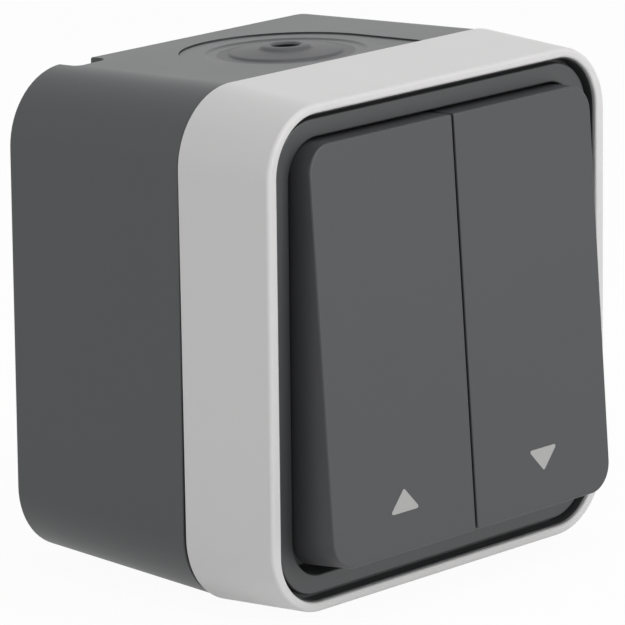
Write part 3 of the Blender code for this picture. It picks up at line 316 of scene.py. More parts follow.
class Wire:
    """Output of a node. Arithmetic on it adds Math nodes."""

    def __init__(self, socket):
        self.socket = socket

    def math(self, operation, *values):
        return Nodes(self.socket.id_data).add("ShaderNodeMath", {"operation": operation},
                                              dict(enumerate(values)))

    def __add__(self, other):
        return self.math("ADD", self, other)

    def __sub__(self, other):
        return self.math("SUBTRACT", self, other)

    def __mul__(self, other):
        return self.math("MULTIPLY", self, other)

    def __truediv__(self, other):
        return self.math("DIVIDE", self, other)

    def __rsub__(self, other):
        return self.math("SUBTRACT", other, self)

    def __rtruediv__(self, other):
        return self.math("DIVIDE", other, self)

    __radd__ = __add__
    __rmul__ = __mul__


class Nodes:
    """A node tree, which grows by one method."""

    def __init__(self, tree):
        self.tree = tree

    def add(self, kind, settings=None, sockets=None, output=0):
        node = self.tree.nodes.new(kind)
        for name, value in (settings or {}).items():
            if name == "stops":
                for stop, (position, colour) in zip(node.color_ramp.elements, value):
                    stop.position = position
                    stop.color = colour
            else:
                setattr(node, name, value)
        for key, value in (sockets or {}).items():
            if isinstance(value, Wire):
                self.tree.links.new(value.socket, node.inputs[key])
            else:
                node.inputs[key].default_value = value
        return Wire(node.outputs[output])


def mix_colours(nodes, factor, first, second):
    return nodes.add("ShaderNodeMix", {"data_type": "RGBA"}, {0: factor, 6: first, 7: second}, output=2)


def new_finish(name):
    """Material, its nodes, its shader and the Object coordinates that its pattern reads."""
    material = bpy.data.materials.new(name)
    material.use_nodes = True
    nodes = Nodes(material.node_tree)
    shader = material.node_tree.nodes["Principled BSDF"]
    return material, nodes, shader, nodes.add("ShaderNodeTexCoord", output="Object")


def feed(nodes, shader, **wires):
    """Link wires to the shader's sockets; an underscore stands for a space."""
    for name, wire in wires.items():
        nodes.tree.links.new(wire.socket, shader.inputs[name.replace("_", " ")])


def moulded_plastic(name, colour, roughness, grain, relief, cloud=0.05):
    """Moulded plastic: a faintly cloudy colour, and the fine even grain of an eroded mould."""
    material, nodes, shader, place = new_finish(name)
    drift = nodes.add("ShaderNodeTexNoise", None, {"Vector": place, "Scale": 70, "Detail": 2})
    fine = nodes.add("ShaderNodeTexNoise", None, {
        "Vector": place, "Scale": 1 / grain, "Detail": 2.5, "Roughness": 0.6})
    cells = nodes.add("ShaderNodeTexVoronoi", {"feature": "SMOOTH_F1"}, {
        "Vector": place, "Scale": 0.6 / grain, "Smoothness": 0.6})
    height = fine * 0.65 + cells * 0.35
    dark = (*[c * (1 - cloud) for c in colour], 1)
    light = (*[c * (1 + cloud) for c in colour], 1)
    bump = nodes.add("ShaderNodeBump", None, {"Strength": 1.0, "Distance": relief, "Height": height})
    feed(nodes, shader, Base_Color=mix_colours(nodes, drift * 0.7 + fine * 0.3, dark, light),
         Roughness=roughness - 0.04 + drift * 0.05 + fine * 0.03, Normal=bump)
    return material


def settle(piece, material, body, slot, *nodes, crease=32):
    """Give a piece its finish, keep its flats flat, and tie it to the frame."""
    piece.data.materials.clear()
    piece.data.materials.append(material)
    piece.data.shade_smooth()
    piece.data.set_sharp_from_angle(angle=math.radians(crease))
    flats = piece.modifiers.new("flats", "WEIGHTED_NORMAL")
    flats.keep_sharp = True
    flats.weight = 90
    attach(piece, body)
    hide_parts(*nodes)


anthracite = moulded_plastic("anthracite", (0.049, 0.0515, 0.0535), 0.46, 0.00022, 0.000010)
settle(box_shell, anthracite, "housing", "box", "back_box")

# Cable entries
# Soft grey mouldings pressed into the round holes in the top and bottom: the upper one has a thin pierced
# centre for a cable, the lower one is a blank plug. A flange lies in the seat and a lip grips the wall.
entry_skirt = seat_radius - 0.00001
flange_base = -seat_floor + touch
lip_top = -box_wall - touch
lip_radius = 0.0039
lip_reach = 0.0006
skirt_edge = 0.00002
dimple = [(0, -0.00200), (0.00230, -0.00200), (0.00270, -0.00160), (0.00270, -0.00020), (0.00236, 0.00020),
          (0.00218, 0.00040), (0.00223, 0.00054), (0.00235, 0.00067), (0.00250, 0.00074), (0.00266, 0.00077)]
boss = [(0.00290, 0.00076), (0.00335, 0.00072), (0.00365, 0.00062), (0.00385, 0.00048), (0.00400, 0.00036),
        (0.00415, 0.00027), (0.00440, 0.00021), (0.00480, 0.00017)]
cone = [(0.00540, 0.00013), (0.00620, 0.00006), (0.00720, -0.00004), (0.00810, -0.00014),
        (0.00838, -0.00018), (0.00854, -0.00024), (0.00866, -0.00033), (0.00876, -0.00043),
        (0.00888, -0.00050), (0.00900, -ring_floor), (entry_skirt - skirt_edge, -ring_floor),
        (entry_skirt, -ring_floor - skirt_edge)]
grip = [(entry_skirt, flange_base), (entry_neck, flange_base), (entry_neck, lip_top),
        (entry_neck + lip_reach, lip_top), (entry_neck, lip_top - entry_flange),
        (lip_radius, lip_top - entry_flange), (lip_radius, flange_base - entry_flange),
        (0, flange_base - entry_flange)]


def soft_rubber(name, colour, roughness):
    """Soft moulding: dull, with a faint bloom and a smooth pitted skin."""
    material, nodes, shader, place = new_finish(name)
    bloom = nodes.add("ShaderNodeTexNoise", None, {"Vector": place, "Scale": 160, "Detail": 4})
    skin_grain = nodes.add("ShaderNodeTexNoise", None, {"Vector": place, "Scale": 3200, "Detail": 2})
    lighter = (*[c * 1.12 for c in colour], 1)
    darker = (*[c * 0.90 for c in colour], 1)
    bump = nodes.add("ShaderNodeBump", None, {"Strength": 1.0, "Distance": 0.000006, "Height": skin_grain})
    feed(nodes, shader, Base_Color=mix_colours(nodes, bloom, darker, lighter),
         Roughness=roughness + bloom * 0.1, Normal=bump)
    return material


grey_rubber = soft_rubber("grey_rubber", (0.056, 0.057, 0.060), 0.50)
for word, crown, side, node in (("top", dimple, 1, "entry_membrane"),
                                ("bottom", [(0, boss[0][1])], -1, "blanking_plug")):
    entry = turned("entry_" + word, crown + boss + cone + grip, steps=96)
    entry.data.transform(entry_place(side))
    settle(entry, grey_rubber, "housing", "entry", node)

# Inner works
# The insert sits on the pillars: a zinc-plated steel plate, a white block with brass clamps, contact
# strips and bridges, and a black frame that carries the steel pin. The pieces keep their CAD shapes and get
# fine broken edges.


def worked_metal(name, colour, roughness, streak):
    """Stamped or turned metal: fine streaks along the work and a slightly uneven sheen."""
    material, nodes, shader, place = new_finish(name)
    drawn = nodes.add("ShaderNodeMapping", None, {"Vector": place, "Scale": (1, 1, streak)})
    streaks = nodes.add("ShaderNodeTexNoise", None, {"Vector": drawn, "Scale": 2600, "Detail": 3})
    stain = nodes.add("ShaderNodeTexNoise", None, {"Vector": place, "Scale": 240, "Detail": 3})
    dull = (*[c * 0.84 for c in colour], 1)
    bump = nodes.add("ShaderNodeBump", None, {"Strength": 0.6, "Distance": 0.000004, "Height": streaks})
    shader.inputs["Metallic"].default_value = 1.0
    feed(nodes, shader, Base_Color=mix_colours(nodes, stain, dull, (*colour, 1)),
         Roughness=roughness - 0.06 + streaks * 0.10 + stain * 0.08, Normal=bump)
    return material


def edged_copy(name, node, edge):
    """Copy of a CAD node with its facets joined and its edges broken."""
    bm = bmesh.new()
    bm.from_mesh(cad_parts[node].data)
    piece = new_piece(name, bm)
    broken = piece.modifiers.new("edges", "BEVEL")
    broken.width = edge
    broken.segments = 2
    broken.limit_method = "ANGLE"
    broken.angle_limit = math.radians(40)
    plain_mesh(piece)
    return piece


zinc = worked_metal("zinc_steel", (0.62, 0.63, 0.64), 0.34, 0.12)
brass = worked_metal("stamped_brass", (0.72, 0.52, 0.22), 0.32, 0.2)
white_block = moulded_plastic("white_block", (0.70, 0.70, 0.67), 0.42, 0.00030, 0.000006, cloud=0.02)
black_carrier = moulded_plastic("black_carrier", (0.022, 0.022, 0.024), 0.44, 0.00026, 0.000008)
black_rubber = soft_rubber("black_rubber", (0.030, 0.030, 0.032), 0.60)
inner_pieces = [
    ("steel_plate", "support_plate", zinc, "steel", "housing", 0.00012),
    ("terminal_block", "contact_block", white_block, "block", "housing", 0.00012),
    ("live_strip", "live_bar", brass, "brass", "housing", 0.00006),
    ("pin_frame", "bearing_frame", black_carrier, "carrier", "housing", 0.00012),
    ("pin", "pivot_pin", zinc, "steel", "housing", 0.00020),
    ("insert_gasket", "insert_seal", black_rubber, "seal", "housing", 0.00020),
]
for side in ("left", "right"):
    inner_pieces += [
        ("contact_strip_" + side, "fixed_contact_" + side, brass, "brass", "housing", 0.00006),
        ("bridge_" + side, "contact_bridge_" + side, brass, "brass", "bridge_%s_unit" % side, 0.00008),
        ("carrier_" + side, "cradle_" + side, black_carrier, "carrier", "rocker_%s_unit" % side, 0.00012),
        ("sprung_pin_" + side, "plunger_" + side, brass, "brass", "plunger_%s_unit" % side, 0.00005),
    ]
    inner_pieces += [("clamp_%s_%s" % (side, place), "terminal_clamp_%s_%s" % (side, place), brass, "brass",
                      "housing", 0.00008) for place in ("upper", "lower")]
for name, node, material, slot, body, edge in inner_pieces:
    settle(edged_copy(name, node, edge), material, body, slot, node)

# Screws
# Zinc-plated slotted screws: two hold the plate to the pillars, four close the terminal clamps and two
# countersunk ones draw the cover ring to the plate. All are turned, and their threads are rolled.
head_height = 0.0018


def screw_tree():
    """Tree that sets one threaded, slotted screw on each point, its head towards -Y."""
    tree = bpy.data.node_groups.new("slotted_screw", "GeometryNodeTree")
    tree.interface.new_socket("Points", in_out="INPUT", socket_type="NodeSocketGeometry")
    for name, value in (("Head Radius", 0.0026), ("Head Height", head_height), ("Cone", 0.0),
                        ("Rim", 0.0004), ("Shank Radius", screw_radius), ("Length", 0.012),
                        ("Pitch", 0.0006), ("Thread", 0.00016), ("Slot Width", 0.0007),
                        ("Slot Depth", 0.0007)):
        tree.interface.new_socket(name, in_out="INPUT", socket_type="NodeSocketFloat").default_value = value
    tree.interface.new_socket("Metal", in_out="INPUT", socket_type="NodeSocketMaterial")
    tree.interface.new_socket("Screws", in_out="OUTPUT", socket_type="NodeSocketGeometry")
    nodes = Nodes(tree)
    given = tree.nodes.new("NodeGroupInput")
    size = {socket.name: Wire(socket) for socket in given.outputs}
    place = nodes.add("GeometryNodeInputPosition")
    x, y, z = (nodes.add("ShaderNodeSeparateXYZ", None, {0: place}, output=i) for i in range(3))

    def reshape(mesh, scale):
        moved = nodes.add("ShaderNodeCombineXYZ", None, {0: x * scale, 1: y * scale, 2: z})
        return nodes.add("GeometryNodeSetPosition", None, {"Geometry": mesh, "Position": moved})

    head = nodes.add("GeometryNodeMeshCylinder", None, {
        "Vertices": 48, "Side Segments": 16, "Fill Segments": 1, "Radius": size["Head Radius"],
        "Depth": size["Head Height"]})
    up = (z / size["Head Height"] + 0.5) * size["Head Height"]
    near_top = (up - size["Head Height"] + size["Rim"]) / size["Rim"]
    bulge = near_top.math("MAXIMUM", near_top, 0.0)
    rounding = (1 - (1 - bulge * bulge * 0.98).math("SQRT", 1 - bulge * bulge * 0.98)) * size["Rim"]
    taper = (size["Head Height"] - up) / size["Head Height"] * size["Cone"]
    head = reshape(head, (size["Head Radius"] - rounding - taper) / size["Head Radius"])
    sunk = nodes.add("ShaderNodeCombineXYZ", None, {2: size["Head Height"] / -2})
    head = nodes.add("GeometryNodeTransform", None, {"Geometry": head, "Translation": sunk})

    shank = nodes.add("GeometryNodeMeshCylinder", None, {
        "Vertices": 32, "Side Segments": 110, "Fill Segments": 1, "Radius": size["Shank Radius"],
        "Depth": size["Length"]})
    turn = x.math("ARCTAN2", y, x) / (2 * math.pi)
    wave = (z / size["Pitch"] - turn).math("PINGPONG", z / size["Pitch"] - turn, 0.5)
    fade = (size["Length"] / 2 - z.math("ABSOLUTE", z)) / size["Pitch"]
    fade = fade.math("MINIMUM", fade, 1.0)
    shank = reshape(shank, 1 + (wave * 2 - 0.5) * fade * size["Thread"] / size["Shank Radius"])
    weld = 0.0001
    drop = size["Head Height"] * -1 - size["Length"] / 2 + weld
    below = nodes.add("ShaderNodeCombineXYZ", None, {2: drop})
    shank = nodes.add("GeometryNodeTransform", None, {"Geometry": shank, "Translation": below})

    slot_size = nodes.add("ShaderNodeCombineXYZ", None, {
        0: size["Head Radius"] * 2.6, 1: size["Slot Width"], 2: size["Slot Depth"] * 2})
    slot = nodes.add("GeometryNodeMeshCube", None, {"Size": slot_size})
    screw = nodes.add("GeometryNodeMeshBoolean", {"operation": "UNION", "solver": "EXACT"}, {"Mesh 2": head})
    tree.links.new(shank.socket, screw.socket.node.inputs["Mesh 2"])
    screw = nodes.add("GeometryNodeMeshBoolean", {"operation": "DIFFERENCE", "solver": "EXACT"},
                      {"Mesh 1": screw, "Mesh 2": slot})
    outward = nodes.add("FunctionNodeEulerToRotation", None, {0: (math.radians(90), 0, 0)})
    placed = nodes.add("GeometryNodeInstanceOnPoints", None, {
        "Points": size["Points"], "Instance": screw, "Rotation": outward})
    placed = nodes.add("GeometryNodeRealizeInstances", None, {"Geometry": placed})
    placed = nodes.add("GeometryNodeSetMaterial", None, {"Geometry": placed, "Material": size["Metal"]})
    shown = tree.nodes.new("NodeGroupOutput")
    tree.links.new(placed.socket, shown.inputs[0])
    return tree


def grown(name, points, tree, inputs):
    """Plain mesh of what a tree makes on the given points."""
    mesh = bpy.data.meshes.new(name)
    mesh.from_pydata([Vector(point) for point in points], [], [])
    piece = bpy.data.objects.new(name, mesh)
    bpy.context.scene.collection.objects.link(piece)
    modifier = piece.modifiers.new("grow", "NODES")
    modifier.node_group = tree
    for socket in tree.interface.items_tree:
        if socket.in_out == "INPUT" and socket.name in inputs:
            modifier[socket.identifier] = inputs[socket.name]
    plain_mesh(piece)
    return piece


slotted_screw = screw_tree()
clamp_x = 0.0116
clamp_z = 0.01795
clamp_head = 0.0298
cover_screw_x = 0.02875
cover_screw_z = 0.02377
cover_head = 0.04715
plate_head = plate_front + touch + head_height
corners = [(word, place) for word in ("left", "right") for place in ("upper", "lower")]
for name, points, nodes_named, inputs in (
        ("plate_screws", [(side * plate_screw_x, -plate_head, 0) for side in (-1, 1)],
         ["device_screw_left", "device_screw_right"], {"Length": 0.0120}),
        ("clamp_screws", [(side * clamp_x, -clamp_head, up * clamp_z) for side in (-1, 1) for up in (1, -1)],
         ["clamp_screw_%s_%s" % corner for corner in corners], {"Length": 0.0029}),
        ("cover_screws", [(side * cover_screw_x, -cover_head, -side * cover_screw_z) for side in (-1, 1)],
         ["cover_screw_left", "cover_screw_right"],
         {"Head Radius": 0.0023, "Head Height": 0.0009, "Cone": 0.0009, "Rim": 0.0001, "Length": 0.0158})):
    screws = grown(name, points, slotted_screw, {"Metal": zinc, **inputs})
    settle(screws, zinc, "housing", "steel", *nodes_named)

# Plunger springs
# Small coils of spring wire between the roof of each carrier's bore and its sprung pin. A coil rides with
# the rocker.
pivot_depth = 0.0452
rest_tilt = math.radians(-4.0)
spring_start = 0.0031
spring_length = 0.0022
spring_wire = 0.00015


def spring_tree():
    """Tree that winds one coil upwards from each point."""
    tree = bpy.data.node_groups.new("wound_coil", "GeometryNodeTree")
    tree.interface.new_socket("Points", in_out="INPUT", socket_type="NodeSocketGeometry")
    for name, value in (("Wire", spring_wire), ("Radius", 0.00125), ("Height", spring_length),
                        ("Turns", 4.0)):
        tree.interface.new_socket(name, in_out="INPUT", socket_type="NodeSocketFloat").default_value = value
    tree.interface.new_socket("Metal", in_out="INPUT", socket_type="NodeSocketMaterial")
    tree.interface.new_socket("Coil", in_out="OUTPUT", socket_type="NodeSocketGeometry")
    nodes = Nodes(tree)
    given = tree.nodes.new("NodeGroupInput")
    size = {socket.name: Wire(socket) for socket in given.outputs}
    coil = nodes.add("GeometryNodeCurveSpiral", None, {
        "Resolution": 28, "Rotations": size["Turns"], "Start Radius": size["Radius"],
        "End Radius": size["Radius"], "Height": size["Height"]})
    section = nodes.add("GeometryNodeCurvePrimitiveCircle", None, {"Resolution": 10, "Radius": size["Wire"]})
    wire = nodes.add("GeometryNodeCurveToMesh", None, {"Curve": coil, "Profile Curve": section,
                                                       "Fill Caps": True})
    placed = nodes.add("GeometryNodeInstanceOnPoints", None, {"Points": size["Points"], "Instance": wire})
    placed = nodes.add("GeometryNodeRealizeInstances", None, {"Geometry": placed})
    placed = nodes.add("GeometryNodeSetMaterial", None, {"Geometry": placed, "Material": size["Metal"]})
    shown = tree.nodes.new("NodeGroupOutput")
    tree.links.new(placed.socket, shown.inputs[0])
    return tree


wound_coil = spring_tree()
rocker_place = Matrix.Translation((0, -pivot_depth, 0)) @ Matrix.Rotation(rest_tilt, 4, "X")
for side, word in ((-1, "left"), (1, "right")):
    coil = grown("coil_" + word, [(0, 0, 0)], wound_coil, {"Metal": zinc})
    seat = Matrix.Translation((side * clamp_x, spring_start + spring_wire, 0))
    coil.data.transform(rocker_place @ seat @ Matrix.Rotation(math.radians(-90), 4, "X"))
    settle(coil, zinc, "rocker_%s_unit" % word, "steel", "plunger_spring_" + word)
    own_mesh(coil)

# Seam gasket
# A soft black ring in the groove of the box's mouth. The collar presses it, and it shows as the dark line of
# the seam.
gasket_start = box_depth - gasket_height + touch
gasket_end = 0.03595
gasket_edge = 0.0002
gasket = skin("seam_ring", [
    box_outline(gasket_start, box_lip + touch), box_outline(gasket_end - gasket_edge, box_lip + touch),
    box_outline(gasket_end - gasket_edge * 0.3, box_lip + touch + gasket_edge * 0.3),
    box_outline(gasket_end, box_lip + touch + gasket_edge), box_outline(gasket_end, box_wall - gasket_edge),
    box_outline(gasket_end - gasket_edge * 0.3, box_wall - gasket_edge * 0.3),
    box_outline(gasket_end - gasket_edge, box_wall), box_outline(gasket_start, box_wall)], closed=True)
settle(gasket, black_rubber, "housing", "seal", "seam_gasket")

# Collar
# The light grey frame: a tapered moulding with a flat rim, softly rounded outside and inside, and a ledge
# that the cover ring lies on.
corner_steps = 24
seam_depth = 0.0360
collar_depth = 0.0170
collar_half_x = 0.0385
collar_half_z = 0.0390
collar_taper_x = 0.00064
collar_taper_z = 0.00102
collar_corner = 0.0114
rim_front = seam_depth + collar_depth
ring_front = rim_front - 0.0012
shaft_half_x = 0.0358
shaft_half_z = 0.03652
shaft_corner = 0.0086
ring_flange = 0.0021
foot_half_x = 0.03395
foot_half_z = 0.03467
foot_corner = 0.00675


def collar_outline(depth, inset):
    share = (depth - seam_depth) / collar_depth
    return frame_outline(collar_half_x - collar_taper_x * share - inset,
                         collar_half_z - collar_taper_z * share - inset,
                         collar_corner - collar_taper_x * share - inset, depth, corner_steps)


rim_round = 0.0006
rim_edge = 0.0004
foot_edge = 0.00015
seam_slack = 0.0003  # the seam is this much wider from slack_drop below the middle on
slack_drop = 0.030
collar_wall = 0.0022
ledge_front = ring_front - ring_flange - touch
ledge_back = ledge_front - 0.0018
rings = []
for i in range(4):
    ring = collar_outline(seam_depth + foot_edge * (1 - math.cos(math.radians(30 * i))),
                          foot_edge * (1 - math.sin(math.radians(30 * i))))
    for point in ring:
        point.y -= seam_slack * max(-0.5, min(1.0, -point.z / slack_drop))
    rings.append(ring)
rings += [collar_outline(rim_front - rim_round * (1 - math.sin(math.radians(11.25 * i))),
                         rim_round * (1 - math.cos(math.radians(11.25 * i)))) for i in range(9)]
for i in range(7):
    rest = rim_edge * (1 - math.sin(math.radians(15 * i)))
    rings.append(frame_outline(shaft_half_x + rest, shaft_half_z + rest, shaft_corner + rest,
                               rim_front - rim_edge * (1 - math.cos(math.radians(15 * i))), corner_steps))
hole = (foot_half_x + touch, foot_half_z + touch, foot_corner + touch)
rings += [frame_outline(shaft_half_x, shaft_half_z, shaft_corner, ledge_front, corner_steps),
          frame_outline(*hole, ledge_front, corner_steps), frame_outline(*hole, ledge_back, corner_steps),
          collar_outline(ledge_back - 0.001, collar_wall), collar_outline(seam_depth, collar_wall)]
light_grey = moulded_plastic("light_grey", (0.61, 0.602, 0.602), 0.42, 0.00030, 0.000006, cloud=0.012)
settle(skin("collar_shell", rings, closed=True), light_grey, "housing", "collar", "collar")

# Cover ring
# The dark frame round the rockers, with the well behind them. Its outer edge steps down to a thin dark lip
# that lines the collar's light inner wall. The lip is a dark sheet of painted shade that darkens the groove
# between ring and collar into the shadow line. Two countersunk holes take the cover screws.
ring_half_x = 0.03485
ring_half_z = 0.03557
ring_corner = 0.00765
ring_step = 0.0017
ring_edge = 0.0003
well_half_x = 0.03205
well_half_z = 0.03277
well_corner = 0.0060
well_draft = 0.0002
well_floor = 0.0464
floor_back = 0.0446
window_half_x = 0.0245
window_half_z = 0.0070
window_corner = 0.0017
# Painted shade: a thin dark sheet on the collar's light inner wall that stands in for the shade in the
# groove.
shade_lip_half_x = shaft_half_x - 0.00005
shade_lip_half_z = shaft_half_z - 0.00005
shade_lip_wall = 0.00012
shade_lip_front = rim_front - 0.0006
flange_back = ring_front - ring_flange


def ring_rows(half_x, half_z, corner, edge, inward):
    """Quarter-round between the ring's face and a wall, outwards or inwards."""
    rows = []
    for i in range(5):
        angle = math.radians(22.5 * i)
        back = edge * (1 - math.sin(angle)) if inward else edge * (1 - math.cos(angle))
        rest = edge * (1 - math.cos(angle)) if inward else edge * (1 - math.sin(angle))
        sign = 1 if inward else -1
        rows.append(frame_outline(half_x + sign * rest, half_z + sign * rest, corner + sign * rest,
                                  ring_front - back, corner_steps))
    return rows


rings = ring_rows(ring_half_x, ring_half_z, ring_corner, ring_edge, False)[::-1]
rings += ring_rows(well_half_x, well_half_z, well_corner, ring_edge, True)[::-1]
well_foot = (well_half_x - well_draft, well_half_z - well_draft, well_corner)
window = (window_half_x, window_half_z, window_corner)
foot = (foot_half_x, foot_half_z, foot_corner)
shade_lip_outer = (shade_lip_half_x, shade_lip_half_z, shaft_corner)
shade_lip_inner = (shade_lip_half_x - shade_lip_wall, shade_lip_half_z - shade_lip_wall, shaft_corner - shade_lip_wall)
for size, depth in ((well_foot, well_floor), (window, well_floor), (window, floor_back), (foot, floor_back),
                    (foot, flange_back), (shade_lip_outer, flange_back), (shade_lip_outer, shade_lip_front),
                    (shade_lip_inner, shade_lip_front), (shade_lip_inner, ring_front - ring_step),
                    ((ring_half_x, ring_half_z, ring_corner), ring_front - ring_step)):
    rings.append(frame_outline(*size, depth, corner_steps))
cover = skin("ring_shell", rings, closed=True)
sinks = []
sink_radius = 0.00275
sink_hole = 0.0017
sink_cone = 0.00105
sink_length = 0.003
for side, word in ((-1, "left"), (1, "right")):
    sink = turned("sink_" + word, [
        (0, overcut), (sink_radius, overcut), (sink_radius, 0), (sink_hole, -sink_cone),
        (sink_hole, -sink_length), (0, -sink_length)])
    sink.data.transform(Matrix.Translation((side * cover_screw_x, -well_floor, -side * cover_screw_z))
                        @ Matrix.Rotation(math.radians(90), 4, "X"))
    sinks.append(sink)
work(cover, "DIFFERENCE", sinks)
ring_plastic = moulded_plastic("ring_anthracite", (0.048, 0.0495, 0.0515), 0.46, 0.00020, 0.000008)
settle(cover, ring_plastic, "housing", "ring", "cover_ring")

# Rockers
# Two caps clipped onto their carriers. Each is a tray with a flat face, large outer and tight inner corners,
# softly rounded edges, and a printed triangle near its lower edge: up on the left, down on the right.
rocker_half_x = 0.0315
rocker_half_z = 0.03145
rocker_split = {-1: 0.0001, 1: 0.0003}
rocker_draft = 0.00022
rocker_rise = 0.00025
rocker_face = 0.0122
rocker_edge = 0.00028
rocker_wall = 0.0015
rocker_ceiling = rocker_face - 0.0020
skirt_gap = 0.0006
skirt_back = well_floor - pivot_depth - rocker_half_z * math.sin(rest_tilt) + skirt_gap
platform_front = rocker_face - 0.0051
platform_back = platform_front - 0.0018
platform_half = 0.0130
carrier_half = 0.0095
cap_corner = 0.0044
hook_half = 0.0030
hook_wall = 0.0012
hook_barb = 0.0008
barb_half = 0.0027
post_radius = 0.0013
post_inset = 0.0026


def cap_outline(side, inset, depth):
    """Outline of a cap, its outer corners large and its inner ones tight."""
    x = sorted((side * (rocker_split[side] + inset), side * (rocker_half_x - inset)))
    z = (rocker_rise + inset - rocker_half_z, rocker_rise + rocker_half_z - inset)
    large = cap_corner - inset
    tight = max(0.0005 - inset, 0.00015)
    radii = (large, tight, tight, large) if side > 0 else (tight, large, large, tight)
    return rounded_outline(x, z, radii, depth, 16)


def printed_triangle(name, centre, up, depth):
    """Thin printed triangle with rounded corners, level with the cap's face and just proud of it."""
    half_width = 0.0033
    height = 0.00355
    corner = 0.00030
    tips = [Vector((0, height / 2)), Vector((-half_width, -height / 2)), Vector((half_width, -height / 2))]
    points = []
    for i, tip in enumerate(tips):
        before = (tips[i - 1] - tip).normalized()
        after = (tips[(i + 1) % 3] - tip).normalized()
        half_angle = before.angle(after) / 2
        middle = tip + (before + after).normalized() * corner / math.sin(half_angle)
        start = tip + before * corner / math.tan(half_angle) - middle
        end = tip + after * corner / math.tan(half_angle) - middle
        for step in range(9):
            turned_by = start.angle_signed(end) * step / 8
            points.append(middle + Matrix.Rotation(-turned_by, 2) @ start)
    if not up:
        points = [Vector((-p.x, -p.y)) for p in points]
    rows = []
    for level, inset in ((depth - 0.00015, 1.0), (depth + 0.00001, 1.0), (depth + 0.00003, 0.985)):
        rows.append([Vector((centre[0] + p.x * inset, -level, centre[1] + p.y * inset)) for p in points])
    return skin(name, rows)


def print_ink(name, colour):
    """Light print: even, slightly satin, with the grain of the plastic showing through."""
    material, nodes, shader, place = new_finish(name)
    fleck = nodes.add("ShaderNodeTexNoise", None, {"Vector": place, "Scale": 4000, "Detail": 2})
    bump = nodes.add("ShaderNodeBump", None, {"Strength": 0.7, "Distance": 0.000006, "Height": fleck})
    feed(nodes, shader, Base_Color=mix_colours(nodes, fleck, (*[c * 0.94 for c in colour], 1), (*colour, 1)),
         Roughness=0.42 + fleck * 0.08, Normal=bump)
    return material


cap_plastic = moulded_plastic("rocker_anthracite", (0.040, 0.041, 0.044), 0.46, 0.00020, 0.000010)
ink = print_ink("light_print", (0.355, 0.355, 0.35))
for side, word in ((-1, "left"), (1, "right")):
    rows = [cap_outline(side, rocker_wall, rocker_ceiling), cap_outline(side, rocker_wall, skirt_back),
            cap_outline(side, -rocker_draft, skirt_back)]
    rows += [cap_outline(side, rocker_edge * (1 - math.cos(math.radians(15 * i))),
                         rocker_face - rocker_edge * (1 - math.sin(math.radians(15 * i)))) for i in range(7)]
    cap = skin("cap_" + word, rows)
    fittings = []
    x = side * clamp_x
    for up, place in ((1, "upper"), (-1, "lower")):
        leg = sorted((up * (platform_half + touch), up * (platform_half + touch + hook_wall)))
        barb = sorted((up * (platform_half - hook_barb), up * (platform_half + touch + hook_wall / 2)))
        fittings.append(bar("leg_" + place, (x - hook_half, x + hook_half),
                            (platform_back - 0.0011, rocker_ceiling + overcut), leg))
        fittings.append(bar("barb_" + place, (x - barb_half, x + barb_half),
                            (platform_back - 0.00102, platform_back - touch), barb))
        for turn in (-1, 1):
            post_x = x + turn * (carrier_half - post_inset)
            post_z = up * (platform_half - post_inset)
            fittings.append(rod("post_%s_%d" % (place, turn), (post_x, -(platform_front + touch), post_z),
                                (post_x, -(rocker_ceiling + overcut), post_z), post_radius, 20))
    work(cap, "UNION", fittings)
    cap.data.transform(rocker_place)
    settle(cap, cap_plastic, "rocker_%s_unit" % word, "rocker", "rocker_" + word)
    centre = (side * 0.01585 + 0.00025, -0.02345 - side * 0.0001)
    sign = printed_triangle("triangle_" + word, centre, side < 0, rocker_face)
    sign.data.transform(rocker_place)
    sign.data.materials.append(ink)
    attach(sign, "rocker_%s_unit" % word)

# Studio
# A plain pale floor under the switch, soft lamps above, in front and to the left, and a white surround.
# The camera stands at the photograph's angle.


def studio_floor():
    """Large pale floor whose tone blends into the white surround and keeps a soft shadow."""
    half = 3.0
    mesh = bpy.data.meshes.new("floor")
    corners = [(-half, -half, 0), (half, -half, 0), (half, half, 0), (-half, half, 0)]
    mesh.from_pydata(corners, [], [(0, 1, 2, 3)])
    floor = bpy.data.objects.new("floor", mesh)
    bpy.context.scene.collection.objects.link(floor)
    floor.location.z = cad_box[0][2] - 0.0002
    material, nodes, shader, place = new_finish("floor")
    shader.inputs["Base Color"].default_value = (0.90, 0.90, 0.90, 1)
    shader.inputs["Roughness"].default_value = 0.9
    seen, glossy, through = (nodes.add("ShaderNodeLightPath", output=name) for name in
                             ("Is Camera Ray", "Is Glossy Ray", "Is Transmission Ray"))
    white = nodes.add("ShaderNodeEmission", None, {"Strength": 1.0})
    blend = nodes.add("ShaderNodeMixShader", None, {
        0: (seen + glossy + through) * 0.95, 1: Wire(shader.outputs[0]), 2: white})
    nodes.tree.links.new(blend.socket, nodes.tree.nodes["Material Output"].inputs["Surface"])
    mesh.materials.append(material)


def soft_lamp(name, place, aim, size, energy):
    """Square soft box that looks at a point."""
    data = bpy.data.lights.new(name, "AREA")
    data.size = size
    data.energy = energy
    lamp = bpy.data.objects.new(name, data)
    bpy.context.scene.collection.objects.link(lamp)
    lamp.location = place
    lamp.rotation_euler = (Vector(aim) - Vector(place)).to_track_quat("-Z", "Y").to_euler()


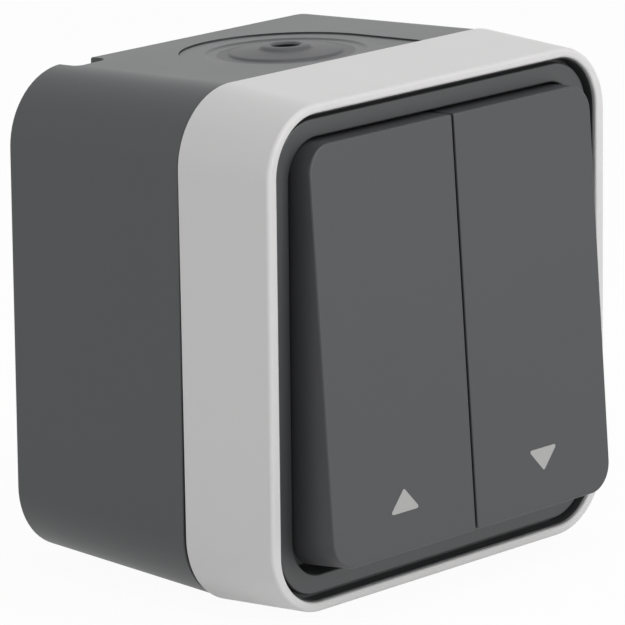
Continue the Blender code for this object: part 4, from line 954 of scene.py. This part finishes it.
studio_floor()
soft_lamp("lamp_above", (0.02, -0.30, 0.92), (0, -0.03, 0), 0.9, 4.5)
soft_lamp("lamp_front", (0.30, -1.00, 0.22), (0, -0.03, 0), 0.5, 5.2)
soft_lamp("lamp_left", (-0.97, 0.15, 0.30), (0, -0.03, 0), 0.6, 2.0)
soft_lamp("lamp_behind", (0.80, 0.75, 0.36), (0, -0.03, 0.03), 0.5, 0.25)
world = bpy.data.worlds.new("surround")
bpy.context.scene.world = world
world.use_nodes = True
sky = Nodes(world.node_tree)
shown_white = [sky.add("ShaderNodeLightPath", output=name) for name in
               ("Is Camera Ray", "Is Glossy Ray", "Is Transmission Ray")]
either = shown_white[0] + shown_white[1] + shown_white[2]
dim = sky.add("ShaderNodeBackground", None, {"Color": (1, 1, 1, 1), "Strength": 0.30})
bright = sky.add("ShaderNodeBackground", None, {"Color": (1, 1, 1, 1), "Strength": 1.0})
surround = sky.add("ShaderNodeMixShader", None, {0: either, 1: dim, 2: bright})
world.node_tree.links.new(surround.socket, world.node_tree.nodes["World Output"].inputs["Surface"])

view_turn = math.radians(-47.58)
view_rise = math.radians(13.366)
view_roll = math.radians(-0.657)
view_distance = 0.86750
view_slide = (-0.006747, -0.000462)
view_middle = Vector((0, -0.03598, 0))
back = Vector((math.sin(view_turn) * math.cos(view_rise), -math.cos(view_turn) * math.cos(view_rise),
               math.sin(view_rise)))
level = Vector((math.cos(view_turn), math.sin(view_turn), 0))
upward = back.cross(level)
right = math.cos(view_roll) * level + math.sin(view_roll) * upward
upward = math.cos(view_roll) * upward - math.sin(view_roll) * level
stand = view_middle + back * view_distance + right * view_slide[0] + upward * view_slide[1]
lens = bpy.data.cameras.new("camera")
lens.sensor_width = 36
lens.lens = 331.6
lens.clip_start = 0.01
lens.clip_end = 50
camera = bpy.data.objects.new("camera", lens)
bpy.context.scene.collection.objects.link(camera)
camera.matrix_world = Matrix.Translation(stand) @ Matrix((right, upward, back)).transposed().to_4x4()
bpy.context.scene.camera = camera
bpy.context.scene.view_settings.view_transform = "Standard"
